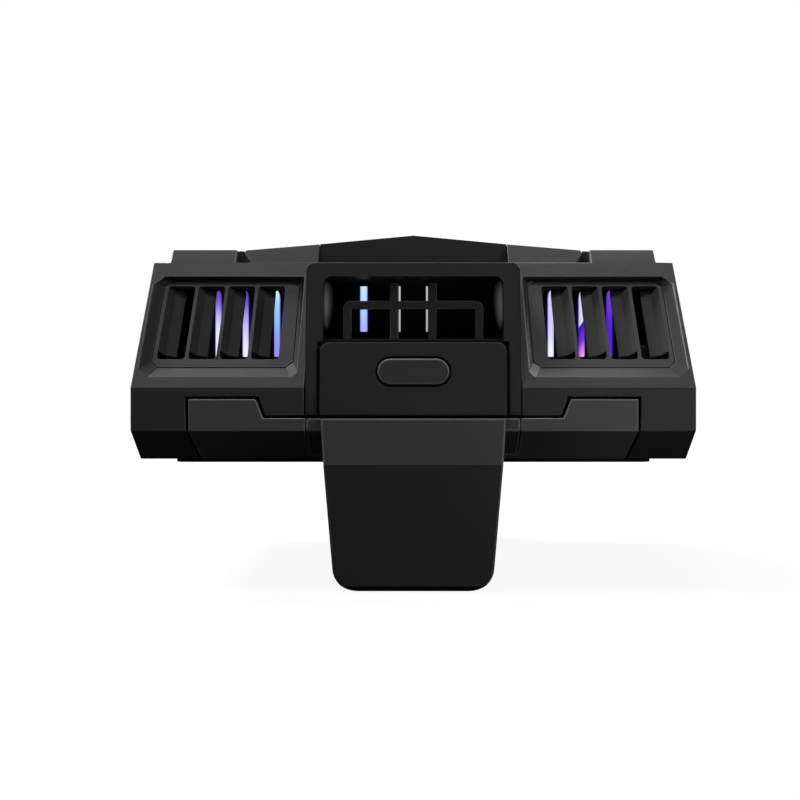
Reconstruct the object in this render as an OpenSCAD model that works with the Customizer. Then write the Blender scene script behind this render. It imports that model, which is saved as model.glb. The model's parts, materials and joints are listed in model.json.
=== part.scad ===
// Clip-on phone cooler: faceted body with sloping louvred vents, a centre column with a button,
// a fan over a heat sink and a thermoelectric module, and a sprung clamp jaw.
// Millimetres. Z = 0 is the face that touches the phone, the clamp side is at -Y, X is the width.

/* [Body] */
// Width of the body
body_w = 72; // [71:0.5:80]
// Depth of the body from belt to belt
body_d = 70; // [69:0.5:78]
// Height of the chamfer along the bottom edge
chamfer_h = 3.75; // [3.2:0.05:4.2]
// Run of that chamfer
chamfer_d = 5.3; // [4.6:0.1:6]
// Height of the straight belt
belt_h = 5.5; // [5.2:0.1:7]
// Length of the vent slope
slope_len = 21.9; // [21.6:0.1:25]
// Lean of the vent slope from upright, in degrees
slope_lean = 36.2; // [34:0.1:37]
// Thickness of the sloped wall
slope_wall = 2.2; // [2:0.1:2.4]
// Thickness of the end walls
end_wall = 1.6; // [1.4:0.1:1.7]
// Thickness of the floor
floor_t = 1.6; // [1.2:0.1:1.7]
// Thickness of the plate under the top cover
top_plate_t = 2; // [1.7:0.1:2.4]
// Set-in of the shoulders from the body's sides
shoulder_in = 2.3; // [1:0.1:4]
// Height of the shoulders above the vent slopes
shoulder_h = 2; // [1.5:0.1:3]
// Run of the bevel in front of the shoulders
shoulder_run = 1.6; // [1.5:0.1:3.5]

/* [Top cover] */
// Width of the gabled cover
cover_w = 47.4; // [44:0.2:49]
// Height of its eaves
eave_h = 2.1; // [1.8:0.05:3]
// Height of its ridge
ridge_h = 4.3; // [3:0.1:5]
// Step back of its front from the vent slope
cover_set = 1.2; // [0.6:0.1:1.6]
// Lean of its front and rear wings
wing_lean = 36; // [20:1:40]
// Thickness of its roof and walls
roof_t = 1.6; // [1.4:0.1:1.7]
// Groove between the cover and each shoulder
groove_w = 1; // [0.6:0.1:1.6]
// Length of the groove behind the cover's front
groove_d = 1.6; // [1:0.1:4]
// Rim of the cover before the air intake
intake_rim = 3.9; // [3:0.1:6]
// Width of the dark strip across the cover
strip_w = 26.6; // [24:0.2:28]
// Depth of the strip's seat in the cover
strip_t = 0.9; // [0.8:0.05:1]
// Step back of the strip's front from the cover's front
strip_set = 2.2; // [1.8:0.1:2.3]
// Chamfer of the cover's upright corners
cover_corner = 1.2; // [0.6:0.1:1.4]
// Width of a grille bar
grille_bar = 1; // [0.8:0.1:1.6]
// Number of grille spokes
grille_spokes = 12; // [6:1:16]

/* [Centre column] */
// Width of the column
bezel_w = 27.6; // [26.4:0.1:29]
// Height of the column above the belt
bezel_h = 16.2; // [15.6:0.1:16.6]
// Lean of the column's face, in degrees
bezel_lean = 7.6; // [5:0.1:9]
// Wall of the column
bezel_wall = 1.4; // [1:0.1:1.5]
// Depth to which the column is let into the belt
bezel_seat = 2.6; // [2.5:0.1:3]
// Radius of the column's top corners
bezel_r = 1; // [0.4:0.1:2]
// Width of the window
window_w = 23.2; // [20:0.1:24]
// Height of the window
window_h = 8.2; // [7:0.1:8.4]
// Radius of the window's corners
window_r = 1.1; // [0.4:0.1:2]
// Width of a bar of the window grille
window_bar = 1.05; // [0.6:0.05:1.4]
// Half width of the grille's arch
arch_half = 9.1; // [7:0.1:10]
// Height of the arch above the bottom of the window
arch_rise = 5.1; // [4:0.1:6]
// Distance of the grille's uprights from the middle
upright_x = 2.5; // [1.5:0.1:4]

/* [Button] */
// Width of the button panel
panel_w = 23.8; // [20:0.1:25]
// Height of the button panel
panel_h = 9.4; // [9:0.1:9.8]
// Thickness of the button panel
panel_t = 1.6; // [1.2:0.1:1.7]
// Lean of the button panel, in degrees
panel_lean = 5; // [3:0.5:6]
// Stand of the panel's bottom edge before the belt
panel_stand = 0.7; // [0.5:0.1:1]
// Radius of the panel's top corners
panel_r = 1.2; // [0.6:0.1:2]
// Length of the button
button_l = 9.3; // [7:0.1:11]
// Height of the button
button_h = 3.5; // [2.8:0.1:4]
// Height of the button's middle on the panel
button_rise = 5.6; // [5.5:0.1:6]
// Stand of the button before the panel
button_stand = 0.15; // [0:0.05:0.4]
// Travel of the button
button_travel = 0.5; // [0.3:0.1:0.6]

/* [Vents] */
// Distance of a vent panel from the middle
vent_x = 15.6; // [15.4:0.1:16]
// Distance of a vent panel from the body's side
vent_out = 1.8; // [1.8:0.1:2.4]
// Distance of a vent panel from the bottom of the slope
vent_s = 3.95; // [3.6:0.05:4.2]
// Length of a vent panel up the slope
vent_l = 15.3; // [15:0.1:16]
// Depth of the tray in which a vent panel lies
vent_sink = 0.9; // [0.6:0.05:1]
// Run of the tray's lower wall
tray_low = 2.25; // [1.5:0.05:2.6]
// Run of the tray's inner wall
tray_in = 0.65; // [0.4:0.05:0.8]
// Run of the tray's outer wall
tray_out = 1.3; // [0.8:0.05:1.3]
// Chamfer of the tray's corners
tray_corner = 1; // [0.6:0.1:1.2]
// Width of the ledge that carries a vent panel
vent_ledge = 0.25; // [0.2:0.05:0.3]
// Number of slots in a vent
slots = 4; // [2:1:5]
// Width of a rib between two slots
rib_w = 0.45; // [0.4:0.05:0.6]
// Distance of the first slot from the panel's inner edge
slot_in = 2; // [1.6:0.1:2.2]
// Distance of the slots from the panel's lower edge
slot_low = 1.45; // [1.3:0.05:2]
// Distance of the slots from the panel's upper edge
slot_high = 0.95; // [0.9:0.05:1.5]
// Radius of a slot's corners
slot_r = 0.5; // [0.3:0.05:0.6]
// Wall left beside the outermost slot
shroud_t = 0.3; // [0.3:0.05:0.5]
// Depth of the louvres below the slope
louvre_n = 2.6; // [2.6:0.05:2.8]
// Run of a louvre's steep side
louvre_lip = 0.85; // [0.6:0.05:1]
// Drop of a louvre's steep side
louvre_drop = 0.85; // [0.6:0.05:0.9]
// Reach of a louvre across its slot
louvre_reach = 2.2; // [1.5:0.1:2.4]
// Drop of a louvre's flat side
louvre_fall = 0.35; // [0.2:0.05:0.4]
// Thickness of a louvre
louvre_t = 0.45; // [0.35:0.05:0.45]
// Gap below the lower end of a louvre
louvre_gap = 1.4; // [0.8:0.1:2]

/* [Clamp] */
// Width of the jaw bar
jaw_w = 57.3; // [55:0.1:60]
// Height of the jaw bar in the middle
jaw_h = 5.4; // [5.2:0.1:5.6]
// Thickness of the jaw bar
jaw_d = 6.5; // [6.2:0.1:7]
// Height of the tabs above the middle of the bar
tab_h = 2.4; // [1.6:0.1:2.8]
// Width of a tab along its top
tab_w = 8.6; // [6:0.1:10]
// Run of a tab's slanting side
tab_run = 0.9; // [0.3:0.1:2]
// Draw-in of the bar's lower corners
jaw_taper = 0.75; // [0:0.05:1.5]
// Width of the arm's block in the bar
block_w = 27.3; // [26:0.1:28]
// Depth of the arm's block
arm_t = 4.5; // [4:0.1:4.8]
// Width of the arm at its top
arm_w = 23.6; // [20:0.1:25]
// Width of the arm at its tip
tip_w = 20.9; // [16:0.1:23]
// Drop of the arm below the contact face
arm_drop = 16.6; // [14:0.1:20]
// Radius of the arm's lower corners
arm_r = 3.2; // [1:0.1:5]
// Stand of the arm's top before the bar
arm_stand = 0.6; // [0.3:0.1:1]
// Stand of the arm's knee before the bar
knee_stand = 1.2; // [0.6:0.1:1.6]
// Set-back of the outer face at the tip
tip_set = 2; // [1:0.1:2.6]
// Reach of the lip at the tip
lip = 1.4; // [1.1:0.1:2]
// Thickness of the grip pads
grip_t = 1; // [0.6:0.1:1]
// Travel of the jaw
jaw_travel = 24; // [12:1:26]
// Distance of the guide rods from the body's sides
rod_in = 11.6; // [11:0.1:12.4]
// Height of the guide rods
rod_z = 4.6; // [4.5:0.1:4.8]
// Radius of the guide rods
rod_r = 1; // [0.8:0.1:1.1]
// Length of a guide bush
bush_l = 5; // [3:0.5:6]
// Wall of a guide bush
bush_t = 0.65; // [0.5:0.05:0.8]
// Length of a spring at rest
spring_l = 40; // [36:1:42]
// Wire of a spring
wire_d = 0.6; // [0.4:0.05:0.7]
// Turns of a spring
spring_turns = 12; // [8:1:14]

/* [Fan] */
// Room between the fan frame and the slopes
fan_gap = 0.8; // [0.6:0.1:2]
// Height of the fan frame
fan_h = 10; // [9:0.1:10]
// Least wall of the fan's duct
duct_wall = 0.9; // [0.7:0.1:2]
// Radius of the hub
hub_r = 9.5; // [8.5:0.1:11]
// Number of blades
blades = 9; // [5:1:11]
// Gap between the blade tips and the frame
tip_gap = 0.6; // [0.4:0.1:0.8]
// Thickness of a blade
blade_t = 0.8; // [0.6:0.05:1.2]
// Chord of a blade round the hub
blade_chord = 7; // [4:0.1:8]
// Radius of the fan shaft
shaft_r = 1; // [0.8:0.05:1.2]
// Distance of the fan screws from the frame's sides
fan_ear = 4; // [4:0.1:5]

/* [Cooling stack] */
// Set-in of the contact pad from the body's sides
pad_in = 4.1; // [4:0.1:11]
// Set-in of the contact pad from the pocket of the jaw
pad_set = 0.2; // [0.2:0.1:8]
// Thickness of the contact pad
pad_t = 0.5; // [0.4:0.05:0.8]
// Set-in of the cold plate from the body's sides
cold_in = 16; // [15.5:0.1:18]
// Depth of the cold plate
cold_d = 34; // [32:0.5:36]
// Thickness of the cold plate
cold_t = 1.8; // [1.7:0.1:2]
// Side of the thermoelectric module
tec_side = 30; // [25:0.5:31]
// Thickness of the thermoelectric module
tec_t = 3.4; // [3:0.1:3.5]
// Width of the heat sink
sink_w = 36; // [32:0.5:36.4]
// Set-in of its ends from the fan's sides
sink_in = 0; // [0:0.1:2]
// Thickness of its base
sink_base = 2; // [1.5:0.1:2.5]
// Number of fins
fins = 15; // [9:1:19]
// Thickness of a fin
fin_t = 0.7; // [0.5:0.05:1]

/* [Electronics] */
// Thickness of the circuit boards
board_t = 1; // [0.8:0.1:1.2]
// Width of the power socket
usb_w = 8.94; // [8.94:0.01:9]
// Height of the power socket
usb_h = 3.26; // [3.2:0.01:3.3]
// Length of the power socket
usb_l = 7.3; // [6.8:0.1:7.5]
// Distance of the light bars behind the belt's front
light_set = 14.4; // [14:0.1:14.5]
// Width of a light bar
light_w = 0.9; // [0.6:0.05:1.4]
// Distance of a light bar from the inner edge of its slot
light_in = 1.45; // [1:0.05:2]

/* [Screws] */
// Radius of a housing screw
screw_r = 0.8; // [0.6:0.05:1]
// Radius of a screw boss
boss_r = 1.8; // [1.6:0.1:2]
// Distance of the housing screws from the end walls
boss_in_x = 2.5; // [2.3:0.1:2.8]
// Distance of the housing screws from the front and rear walls
boss_in_y = 4.2; // [4:0.1:4.5]

/* [Fits] */
// Clearance of pieces that are set into each other
fit = 0.1; // [0.05:0.01:0.15]
// Clearance of a pressed or screwed round
press = 0.02; // [0.01:0.01:0.03]
// Radial clearance of a round that runs or slides
run = 0.05; // [0.02:0.01:0.09]
// Parting gap round the jaw and the button
parting = 0.3; // [0.2:0.05:0.35]

/* [Hidden] */
$fn = 64;
over = 1;

shell_grey = [0.13, 0.13, 0.14];
trim_black = [0.06, 0.06, 0.065];
jaw_grey = [0.1, 0.1, 0.105];
rubber_black = [0.05, 0.05, 0.05];
board_green = [0.05, 0.16, 0.09];
light_violet = [0.72, 0.66, 1];
steel = [0.75, 0.76, 0.78];
metal = [0.82, 0.83, 0.85];

// Heights and places that follow from the sizes above
front = -body_d / 2;
chamfer_top = pad_t + chamfer_h;
belt_top = chamfer_top + belt_h;
slope_top = belt_top + slope_len * cos(slope_lean);
slope_run = slope_len * sin(slope_lean);
wall_run = slope_wall / cos(slope_lean);
plate_z = slope_top - top_plate_t;
shoulder_top = slope_top + shoulder_h;
floor_top = pad_t + floor_t;
function slope_at(z) = front + (z - belt_top) * tan(slope_lean);
function slope_z(y) = belt_top + (y - front) / tan(slope_lean);

jaw_top = pad_t + jaw_h;
tab_top = jaw_top + tab_h;
pocket_back = front + jaw_d + parting;
inner_wall = 1.6;
cavity_y = -(pocket_back + inner_wall);
cavity_x = body_w / 2 - end_wall;

panel_z = jaw_top + parting;
panel_top = panel_z + panel_h * cos(panel_lean);
bezel_top = belt_top + bezel_h;
bezel_in = bezel_w / 2 - bezel_wall;
window_gap = 0.4;
sill_h = 0.2;
window_z = panel_top + window_gap;
sill_z = window_z + sill_h;
lean_run = bezel_h * tan(bezel_lean);
function face_at(z) = front + (z - belt_top) * tan(bezel_lean);

cover_y = body_d / 2 - slope_run - cover_set;
intake_r = cover_y - intake_rim;
shoulder_w = body_w - 2 * shoulder_in;
boss_x = cavity_x - boss_in_x;
boss_y = cavity_y - boss_in_y;
vent_end = body_w / 2 - vent_out;
vent_top = vent_s + vent_l;
vent_seat = 1.7;
slot_first = vent_x + slot_in;
slot_pitch = (vent_end - vent_ledge - fit - shroud_t - slot_first + rib_w) / slots;
slot_w = slot_pitch - rib_w;
slot_s0 = vent_s + slot_low;
slot_s1 = vent_top - slot_high;

cold_w = body_w - 2 * cold_in;
cold_top = pad_t + cold_t;
tec_top = cold_top + tec_t;
fan_top = plate_z;
fan_z = fan_top - fan_h;
sink_gap = 0.25;
sink_top = fan_z - sink_gap;
board_z = belt_top - board_t;
board_gap = 0.4;
fan_side = 2 * (-front - wall_run - (plate_z - belt_top) * tan(slope_lean) - fan_gap);
sink_d = fan_side - 2 * sink_in;
board_in_x = sink_w / 2 + board_gap;
board_in_y = sink_d / 2 + board_gap;
pad_w = body_w - 2 * pad_in;
pad_d = 2 * (-pocket_back - pad_set);
pad_r = 2;
screw_clear = 0.4;
fan_pitch = fan_side - 2 * fan_ear;
fan_corner = 2;
duct_r = fan_side / 2 - duct_wall;
tip_r = duct_r - tip_gap;
inlet_lip = 0.6;
spider_t = 1.5;
spider_w = 2;
rotor_gap = 0.6;
cup_t = 1.2;
top_gap = 0.8;
rotor_z0 = fan_z + spider_t + rotor_gap;
rotor_z1 = fan_top - top_gap;
sleeve_t = 1.4;
sleeve_r = shaft_r + sleeve_t;
sleeve_floor = 1;
tube_t = 0.8;
tube_h = 6;
tube_top = fan_z + tube_h;
magnet_t = 0.9;
magnet_lift = 0.2;
air_gap = 0.6;
stator_r = hub_r - cup_t - magnet_t - air_gap;
stator_h = tube_h - spider_t;
tooth_w = 3.2;
shoe_w = 6.4;
shoe_t = 1.2;
winding_gap = 0.4;
shaft_end = 0.2;
shaft_top = 0.5;
fan_screw_r = 1.2;
fan_head_r = 2;
boss_h = 6;
baffle_t = 1.2;
boss_rib = 1.8;
head_h = 1;
head_r = 1.6;

rod_x = body_w / 2 - rod_in;
spring_y0 = pocket_back + bush_l;
clip_y = spring_y0 + spring_l + 2 * fit;
clip_t = 1;
clip_r = 2.1;
coil_gap = 0.4;
coil_r = rod_r + coil_gap + wire_d / 2;
rod_grip = 4.5;
rod_over = 0.5;
rod_end = clip_y + clip_t + rod_over;
block_t = 0.6;
screw_bite = 3;
tip_left = 0.5;

// A box from its lowest to its highest corner
module slab(x0, x1, y0, y1, z0, z1) {
    translate([x0, y0, z0]) cube([x1 - x0, y1 - y0, z1 - z0]);
}

// An outline in Y and Z, drawn out along X about the middle
module along_x(width) {
    rotate([90, 0, 90]) linear_extrude(width, center = true) children();
}

// An outline in X and Z, drawn out along Y about the middle
module along_y(depth) {
    rotate([90, 0, 0]) linear_extrude(depth, center = true) children();
}

// A rectangle with round corners about its middle
module round_rect(w, h, r) {
    square([w - 2 * r, h], center = true);
    square([w, h - 2 * r], center = true);
    for (x = [-1, 1], y = [-1, 1]) translate([x * (w / 2 - r), y * (h / 2 - r)]) circle(r);
}

// A slot outline with round ends about its middle
module stadium(l, h) {
    square([l - h, h], center = true);
    for (x = [-1, 1]) translate([x * (l - h) / 2, 0]) circle(h / 2);
}

// The frame of the front vent slope: X across, Y up the slope, Z out of it
module on_slope() {
    translate([0, front, belt_top]) rotate([90 - slope_lean, 0, 0]) children();
}

// The frame of the button panel: X across, Y up the panel, Z out of it
module on_panel() {
    translate([0, front - panel_stand, panel_z]) rotate([90 - panel_lean, 0, 0]) children();
}

// The right half of something, and the same on the left
module left_and_right() {
    children();
    mirror([1, 0, 0]) children();
}

// The front half of something, and the same at the rear
module front_and_rear() {
    children();
    mirror([0, 1, 0]) children();
}

module at_housing_screws() {
    for (x = [-1, 1], y = [-1, 1]) translate([x * boss_x, y * boss_y, 0]) children();
}

module at_fan_screws() {
    for (x = [-1, 1], y = [-1, 1]) translate([x * fan_pitch / 2, y * fan_pitch / 2, 0]) children();
}

// Two screw axes along Y behind the arm's block
screw_x = 8;
screw_z = 4;
module at_block_screws() {
    for (x = [-1, 1]) translate([x * screw_x, 0, screw_z]) rotate([-90, 0, 0]) children();
}

// Outlines of the housing
tub_profile = [
    [front, chamfer_top], [front, belt_top], [-front, belt_top], [-front, chamfer_top],
    [-front - chamfer_d, pad_t], [front + chamfer_d, pad_t]
];
slope_outer = [
    [front, belt_top], [front + slope_run, slope_top], [-front - slope_run, slope_top], [-front, belt_top]
];
inner_run = (plate_z - belt_top + over) * tan(slope_lean);
inner_foot = front + wall_run - over * tan(slope_lean);
slope_inner = [
    [inner_foot, belt_top - over], [inner_foot + inner_run, plate_z],
    [-inner_foot - inner_run, plate_z], [-inner_foot, belt_top - over]
];
shoulder_profile = [
    [front + slope_run, slope_top - over], [front + slope_run, slope_top],
    [front + slope_run + shoulder_run, shoulder_top], [-front - slope_run - shoulder_run, shoulder_top],
    [-front - slope_run, slope_top], [-front - slope_run, slope_top - over]
];

// Outline of the jaw with its raised tabs, grown by g
function jaw_outline(g) = let (h = jaw_w / 2 + g, t = jaw_w / 2 - tab_w - g) [
    [jaw_taper - h, pad_t - g], [h - jaw_taper, pad_t - g], [h, chamfer_top], [h, tab_top + g],
    [t, tab_top + g], [t - tab_run, jaw_top + g], [tab_run - t, jaw_top + g], [-t, tab_top + g],
    [-h, tab_top + g], [-h, chamfer_top]
];
jaw_profile = [
    [front, chamfer_top], [front, tab_top + over], [front + jaw_d, tab_top + over],
    [front + jaw_d, pad_t], [front + chamfer_d, pad_t]
];

module lower_housing() color(shell_grey) difference() {
    union() {
        difference() {
            along_x(body_w) polygon(tub_profile);
            slab(-cavity_x, cavity_x, -cavity_y, cavity_y, floor_top, belt_top + over);
        }
        at_housing_screws() translate([0, 0, floor_top - fit])
            cylinder(h = board_z - floor_top + fit, r = boss_r);
        left_and_right() slab(
            rod_x - clip_r - block_t, rod_x + clip_r + block_t, pocket_back, spring_y0,
            floor_top - fit, rod_z + clip_r + block_t
        );
    }
    // Pocket of the jaw
    intersection() {
        along_y(4 * body_d) polygon(jaw_outline(parting));
        slab(-body_w, body_w, front - over, pocket_back, pad_t - over, belt_top);
    }
    // Pocket of the rear hook
    slab(-block_w / 2 - fit, block_w / 2 + fit, -front - arm_t - fit, -front + over, pad_t - over, panel_z);
    // Seats of the two columns in the belt
    front_and_rear() slab(
        -bezel_w / 2 - fit, bezel_w / 2 + fit, front - over, front + bezel_seat + fit,
        panel_z - fit, belt_top + over
    );
    // Opening of the cold plate
    slab(
        -cold_w / 2 - fit, cold_w / 2 + fit, -cold_d / 2 - fit, cold_d / 2 + fit,
        pad_t - over, floor_top + over
    );
    // Seat of the board's tongue under the power socket
    slab(-tongue_w / 2 - fit, tongue_w / 2 + fit, 0, tongue_y + fit, board_z - fit, belt_top + over);
    // Bores of the guide bushes
    left_and_right() translate([rod_x, pocket_back - over, rod_z]) rotate([-90, 0, 0])
        cylinder(h = bush_l + 2 * over, r = rod_r + run + bush_t + press);
    // Housing screws and hook screws
    at_housing_screws() {
        translate([0, 0, pad_t - over]) cylinder(h = head_h + over, r = head_r + fit);
        cylinder(h = belt_top, r = screw_r + press);
    }
    at_block_screws() translate([0, 0, cavity_y - over]) cylinder(h = -front - cavity_y, r = screw_r + press);
}

// Outline of a vent panel on the slope, drawn in by d, with its corners cut off
function vent_outline(d) = let (
    x0 = vent_x + d, x1 = vent_end - d, s0 = vent_s + d, s1 = vent_top - d,
    c = tray_corner - d * (2 - sqrt(2))
) [
    [x0, s0 + c], [x0 + c, s0], [x1 - c, s0], [x1, s0 + c],
    [x1, s1 - c], [x1 - c, s1], [x0 + c, s1], [x0, s1 - c]
];

// Half space above a tray wall: m runs towards the tray's middle, from the wall's foot at m0
module tray_wall(m0, slant) translate([0, body_d, 0]) rotate([90, 0, 0])
    linear_extrude(2 * body_d) polygon([
        [m0, -vent_sink], [m0 + body_w, -vent_sink], [m0 + body_w, over],
        [m0 - slant * (1 + over / vent_sink), over]
    ]);

// Tray of the right front vent: four sloping walls and three cut corners
module tray() on_slope() intersection() {
    tray_wall(vent_x, tray_in);
    mirror([1, 0, 0]) tray_wall(-vent_end, tray_out);
    rotate([0, 0, 90]) tray_wall(vent_s, tray_low);
    rotate([0, 0, -90]) tray_wall(-vent_top, 0);
    rotate([0, 0, 45]) tray_wall((vent_x + vent_s + tray_corner) / sqrt(2), tray_low);
    rotate([0, 0, 135]) tray_wall((vent_s - vent_end + tray_corner) / sqrt(2), tray_low);
    rotate([0, 0, -135]) tray_wall((tray_corner - vent_end - vent_top) / sqrt(2), tray_out / 2);
}

module vent_cut() {
    tray();
    on_slope() {
        translate([0, 0, -vent_seat]) linear_extrude(vent_seat - vent_sink + fit) polygon(vent_outline(0));
        translate([0, 0, -slope_wall - over]) linear_extrude(slope_wall + over - vent_sink)
            polygon(vent_outline(vent_ledge));
    }
}

module upper_housing() color(shell_grey) difference() {
    union() {
        difference() {
            along_x(body_w) polygon(slope_outer);
            along_x(2 * cavity_x) polygon(slope_inner);
        }
        left_and_right() intersection() {
            along_x(shoulder_w) polygon(shoulder_profile);
            slab(cover_w / 2 + groove_w, body_w, front, -front, slope_top - over, shoulder_top);
        }
        // Lands that close the grooves behind their ends
        left_and_right() slab(
            cover_w / 2 + fit, cover_w / 2 + groove_w + over, groove_d - cover_y, cover_y - groove_d,
            slope_top - over, shoulder_top
        );
        // Baffles that part the air streams of the two ends
        left_and_right() slab(
            fan_side / 2 + fit, cavity_x + fit, -baffle_t / 2, baffle_t / 2, belt_top + fit, plate_z + fit
        );
        at_housing_screws() translate([0, 0, belt_top]) cylinder(h = boss_h, r = boss_r);
        left_and_right() front_and_rear()
            slab(
                boss_x, cavity_x + fit, boss_y - boss_rib / 2, boss_y + boss_rib / 2,
                belt_top, belt_top + boss_h
            );
    }
    left_and_right() front_and_rear() vent_cut();
    // Openings behind the two columns
    front_and_rear() {
        slab(
            -bezel_in, bezel_in, front - over, slope_at(bezel_top) + wall_run,
            belt_top - over, bezel_top - bezel_wall
        );
        slab(
            -bezel_w / 2 - fit, bezel_w / 2 + fit, front - over, front + bezel_seat + fit,
            belt_top - over, slope_z(front + bezel_seat + fit)
        );
    }
    // Air inlet of the fan and its screws
    translate([0, 0, plate_z - over]) cylinder(h = top_plate_t + 2 * over, r = duct_r - inlet_lip);
    at_fan_screws() {
        translate([0, 0, plate_z - over]) cylinder(h = top_plate_t + 2 * over, r = fan_screw_r + press);
        translate([0, 0, slope_top - head_h]) cylinder(h = head_h + over, r = fan_head_r + fit);
    }
    at_housing_screws() translate([0, 0, belt_top - over]) cylinder(h = boss_h, r = screw_r + press);
}

// Outline of the gable, drawn in by d
function gable(d) = [
    [d - cover_w / 2, slope_top - (d > 0 ? over : 0)], [d - cover_w / 2, slope_top + eave_h - d],
    [0, slope_top + ridge_h - d], [cover_w / 2 - d, slope_top + eave_h - d],
    [cover_w / 2 - d, slope_top - (d > 0 ? over : 0)]
];

// Footprint of the cover with its corners cut off
module cover_plan() linear_extrude(2 * slope_top) polygon([
    for (q = [[1, 1], [-1, 1], [-1, -1], [1, -1]], k = [0, 1]) let (
        c = q[0] * q[1] > 0 ? k : 1 - k
    ) [q[0] * (cover_w / 2 - c * cover_corner), q[1] * (cover_y - (1 - c) * cover_corner)]
]);

// Outline of the cover across its width, with leaning wings
wing_run = 2 * ridge_h * tan(wing_lean);
wing_profile = [
    [-cover_y, slope_top], [wing_run - cover_y, slope_top + 2 * ridge_h],
    [cover_y - wing_run, slope_top + 2 * ridge_h], [cover_y, slope_top]
];

// The cover without what lies deeper than the seat of its strip
strip_y = cover_y - strip_set;
module strip_room() difference() {
    slab(-strip_w / 2, strip_w / 2, -body_d, body_d, slope_top - over, slope_top + 2 * ridge_h);
    along_y(2 * (strip_y - strip_t)) polygon(gable(strip_t));
}

module top_cover() color(shell_grey) difference() {
    intersection() {
        along_y(2 * cover_y) polygon(gable(0));
        along_x(2 * cover_w) polygon(wing_profile);
        cover_plan();
    }
    along_y(2 * (strip_y - roof_t)) polygon(gable(roof_t));
    strip_room();
    cylinder(h = 2 * slope_top, r = intake_r);
}

module ridge_strip() color(trim_black) difference() {
    intersection() {
        along_y(2 * strip_y) polygon(gable(0));
        slab(fit - strip_w / 2, strip_w / 2 - fit, -body_d, body_d, slope_top, slope_top + 2 * ridge_h);
    }
    along_y(2 * (strip_y - strip_t)) polygon(gable(strip_t));
    cylinder(h = 2 * slope_top, r = intake_r);
}

module ring(r0, r1, h) {
    difference() {
        cylinder(h = h, r = r1);
        translate([0, 0, -over]) cylinder(h = h + 2 * over, r = r0);
    }
}

grille_hub = 4.5;
grille_ring = (grille_hub + intake_r) / 2;
grille_rim = 1.2;
grille_sink = 0.2;
module intake_grille() color(trim_black) intersection() {
    difference() {
        along_y(2 * cover_y) polygon(gable(grille_sink));
        along_y(4 * cover_y) polygon(gable(grille_sink + roof_t));
    }
    union() {
        cylinder(h = 2 * slope_top, r = grille_hub);
        ring(grille_ring - grille_bar / 2, grille_ring + grille_bar / 2, 2 * slope_top);
        ring(intake_r - fit - grille_rim, intake_r - fit, 2 * slope_top);
        for (k = [0 : grille_spokes - 1]) rotate([0, 0, (k + 0.5) * 360 / grille_spokes])
            slab(0, intake_r - fit - grille_rim / 2, -grille_bar / 2, grille_bar / 2, 0, 2 * slope_top);
    }
}

// The column that stands before the slope, with its window
module column() difference() {
    intersection() {
        along_x(bezel_w) polygon([
            [front, panel_z], [front, belt_top],
            [front + lean_run, bezel_top], [slope_at(bezel_top), bezel_top],
            [front + bezel_seat, slope_z(front + bezel_seat)], [front + bezel_seat, panel_z]
        ]);
        translate([0, 0, bezel_top - bezel_h]) along_y(4 * body_d) round_rect(bezel_w, 2 * bezel_h, bezel_r);
    }
    along_x(2 * bezel_in) polygon([
        [front + bezel_seat, panel_z - over], [front + bezel_seat, sill_z],
        [face_at(sill_z) + bezel_wall, sill_z], [face_at(bezel_top) + bezel_wall, bezel_top - bezel_wall],
        [0, bezel_top - bezel_wall], [0, panel_z - over]
    ]);
    translate([0, front, window_z + window_h / 2]) along_y(4 * bezel_seat)
        round_rect(window_w, window_h, window_r);
}

flange_w = 12;
flange_h = 3;
flange_t = 0.7;
flange_gap = 0.05;
flange_n = panel_t + flange_gap;
switch_gap = 0.35;
switch_n = flange_n + flange_t + button_travel + switch_gap;
switch_t = 1.4;
switch_w = 4.2;
switch_h = 2.8;
switch_floor = 0.1;
plunger_gap = 0.2;
plunger_r = 0.8;
switch_board_w = 20;
switch_board_h = 5.4;
post_x = 8.4;
post_r = 1.2;
post_v = button_rise + switch_h / 2 + post_r - fit;
module front_bezel() color(trim_black) {
    difference() {
        column();
        // The window runs down to the panel
        slab(
            -window_w / 2, window_w / 2, front - over, face_at(window_z) + bezel_wall,
            panel_top - over, window_z + window_r
        );
        on_panel() {
            translate([-panel_w / 2 - parting, -over, -panel_t])
                cube([panel_w + 2 * parting, panel_h + fit + over, panel_t + over]);
            translate([-flange_w / 2 - parting, button_rise - button_h / 2 - parting, -panel_t - 2 * over])
                cube([flange_w + 2 * parting, button_h + 2 * parting, 3 * over]);
        }
    }
    // Posts of the switch board
    left_and_right() intersection() {
        on_panel() translate([post_x, post_v, -switch_n - switch_t])
            cylinder(h = switch_n + switch_t - panel_t - parting, r = post_r);
        slab(-body_w, body_w, front + bezel_seat - fit, 0, belt_top, slope_top);
    }
}

module rear_bezel() color(trim_black) difference() {
    mirror([0, 1, 0]) column();
    translate([0, -front, belt_top + usb_h / 2]) along_y(4 * bezel_seat)
        stadium(usb_w + 4 * fit, usb_h + 4 * fit);
    // The socket passes above its board, so the wall is open down to it
    slab(-tongue_w / 2 - fit, tongue_w / 2 + fit, 0, tongue_y + fit, panel_z - over, belt_top + fit);
}

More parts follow.
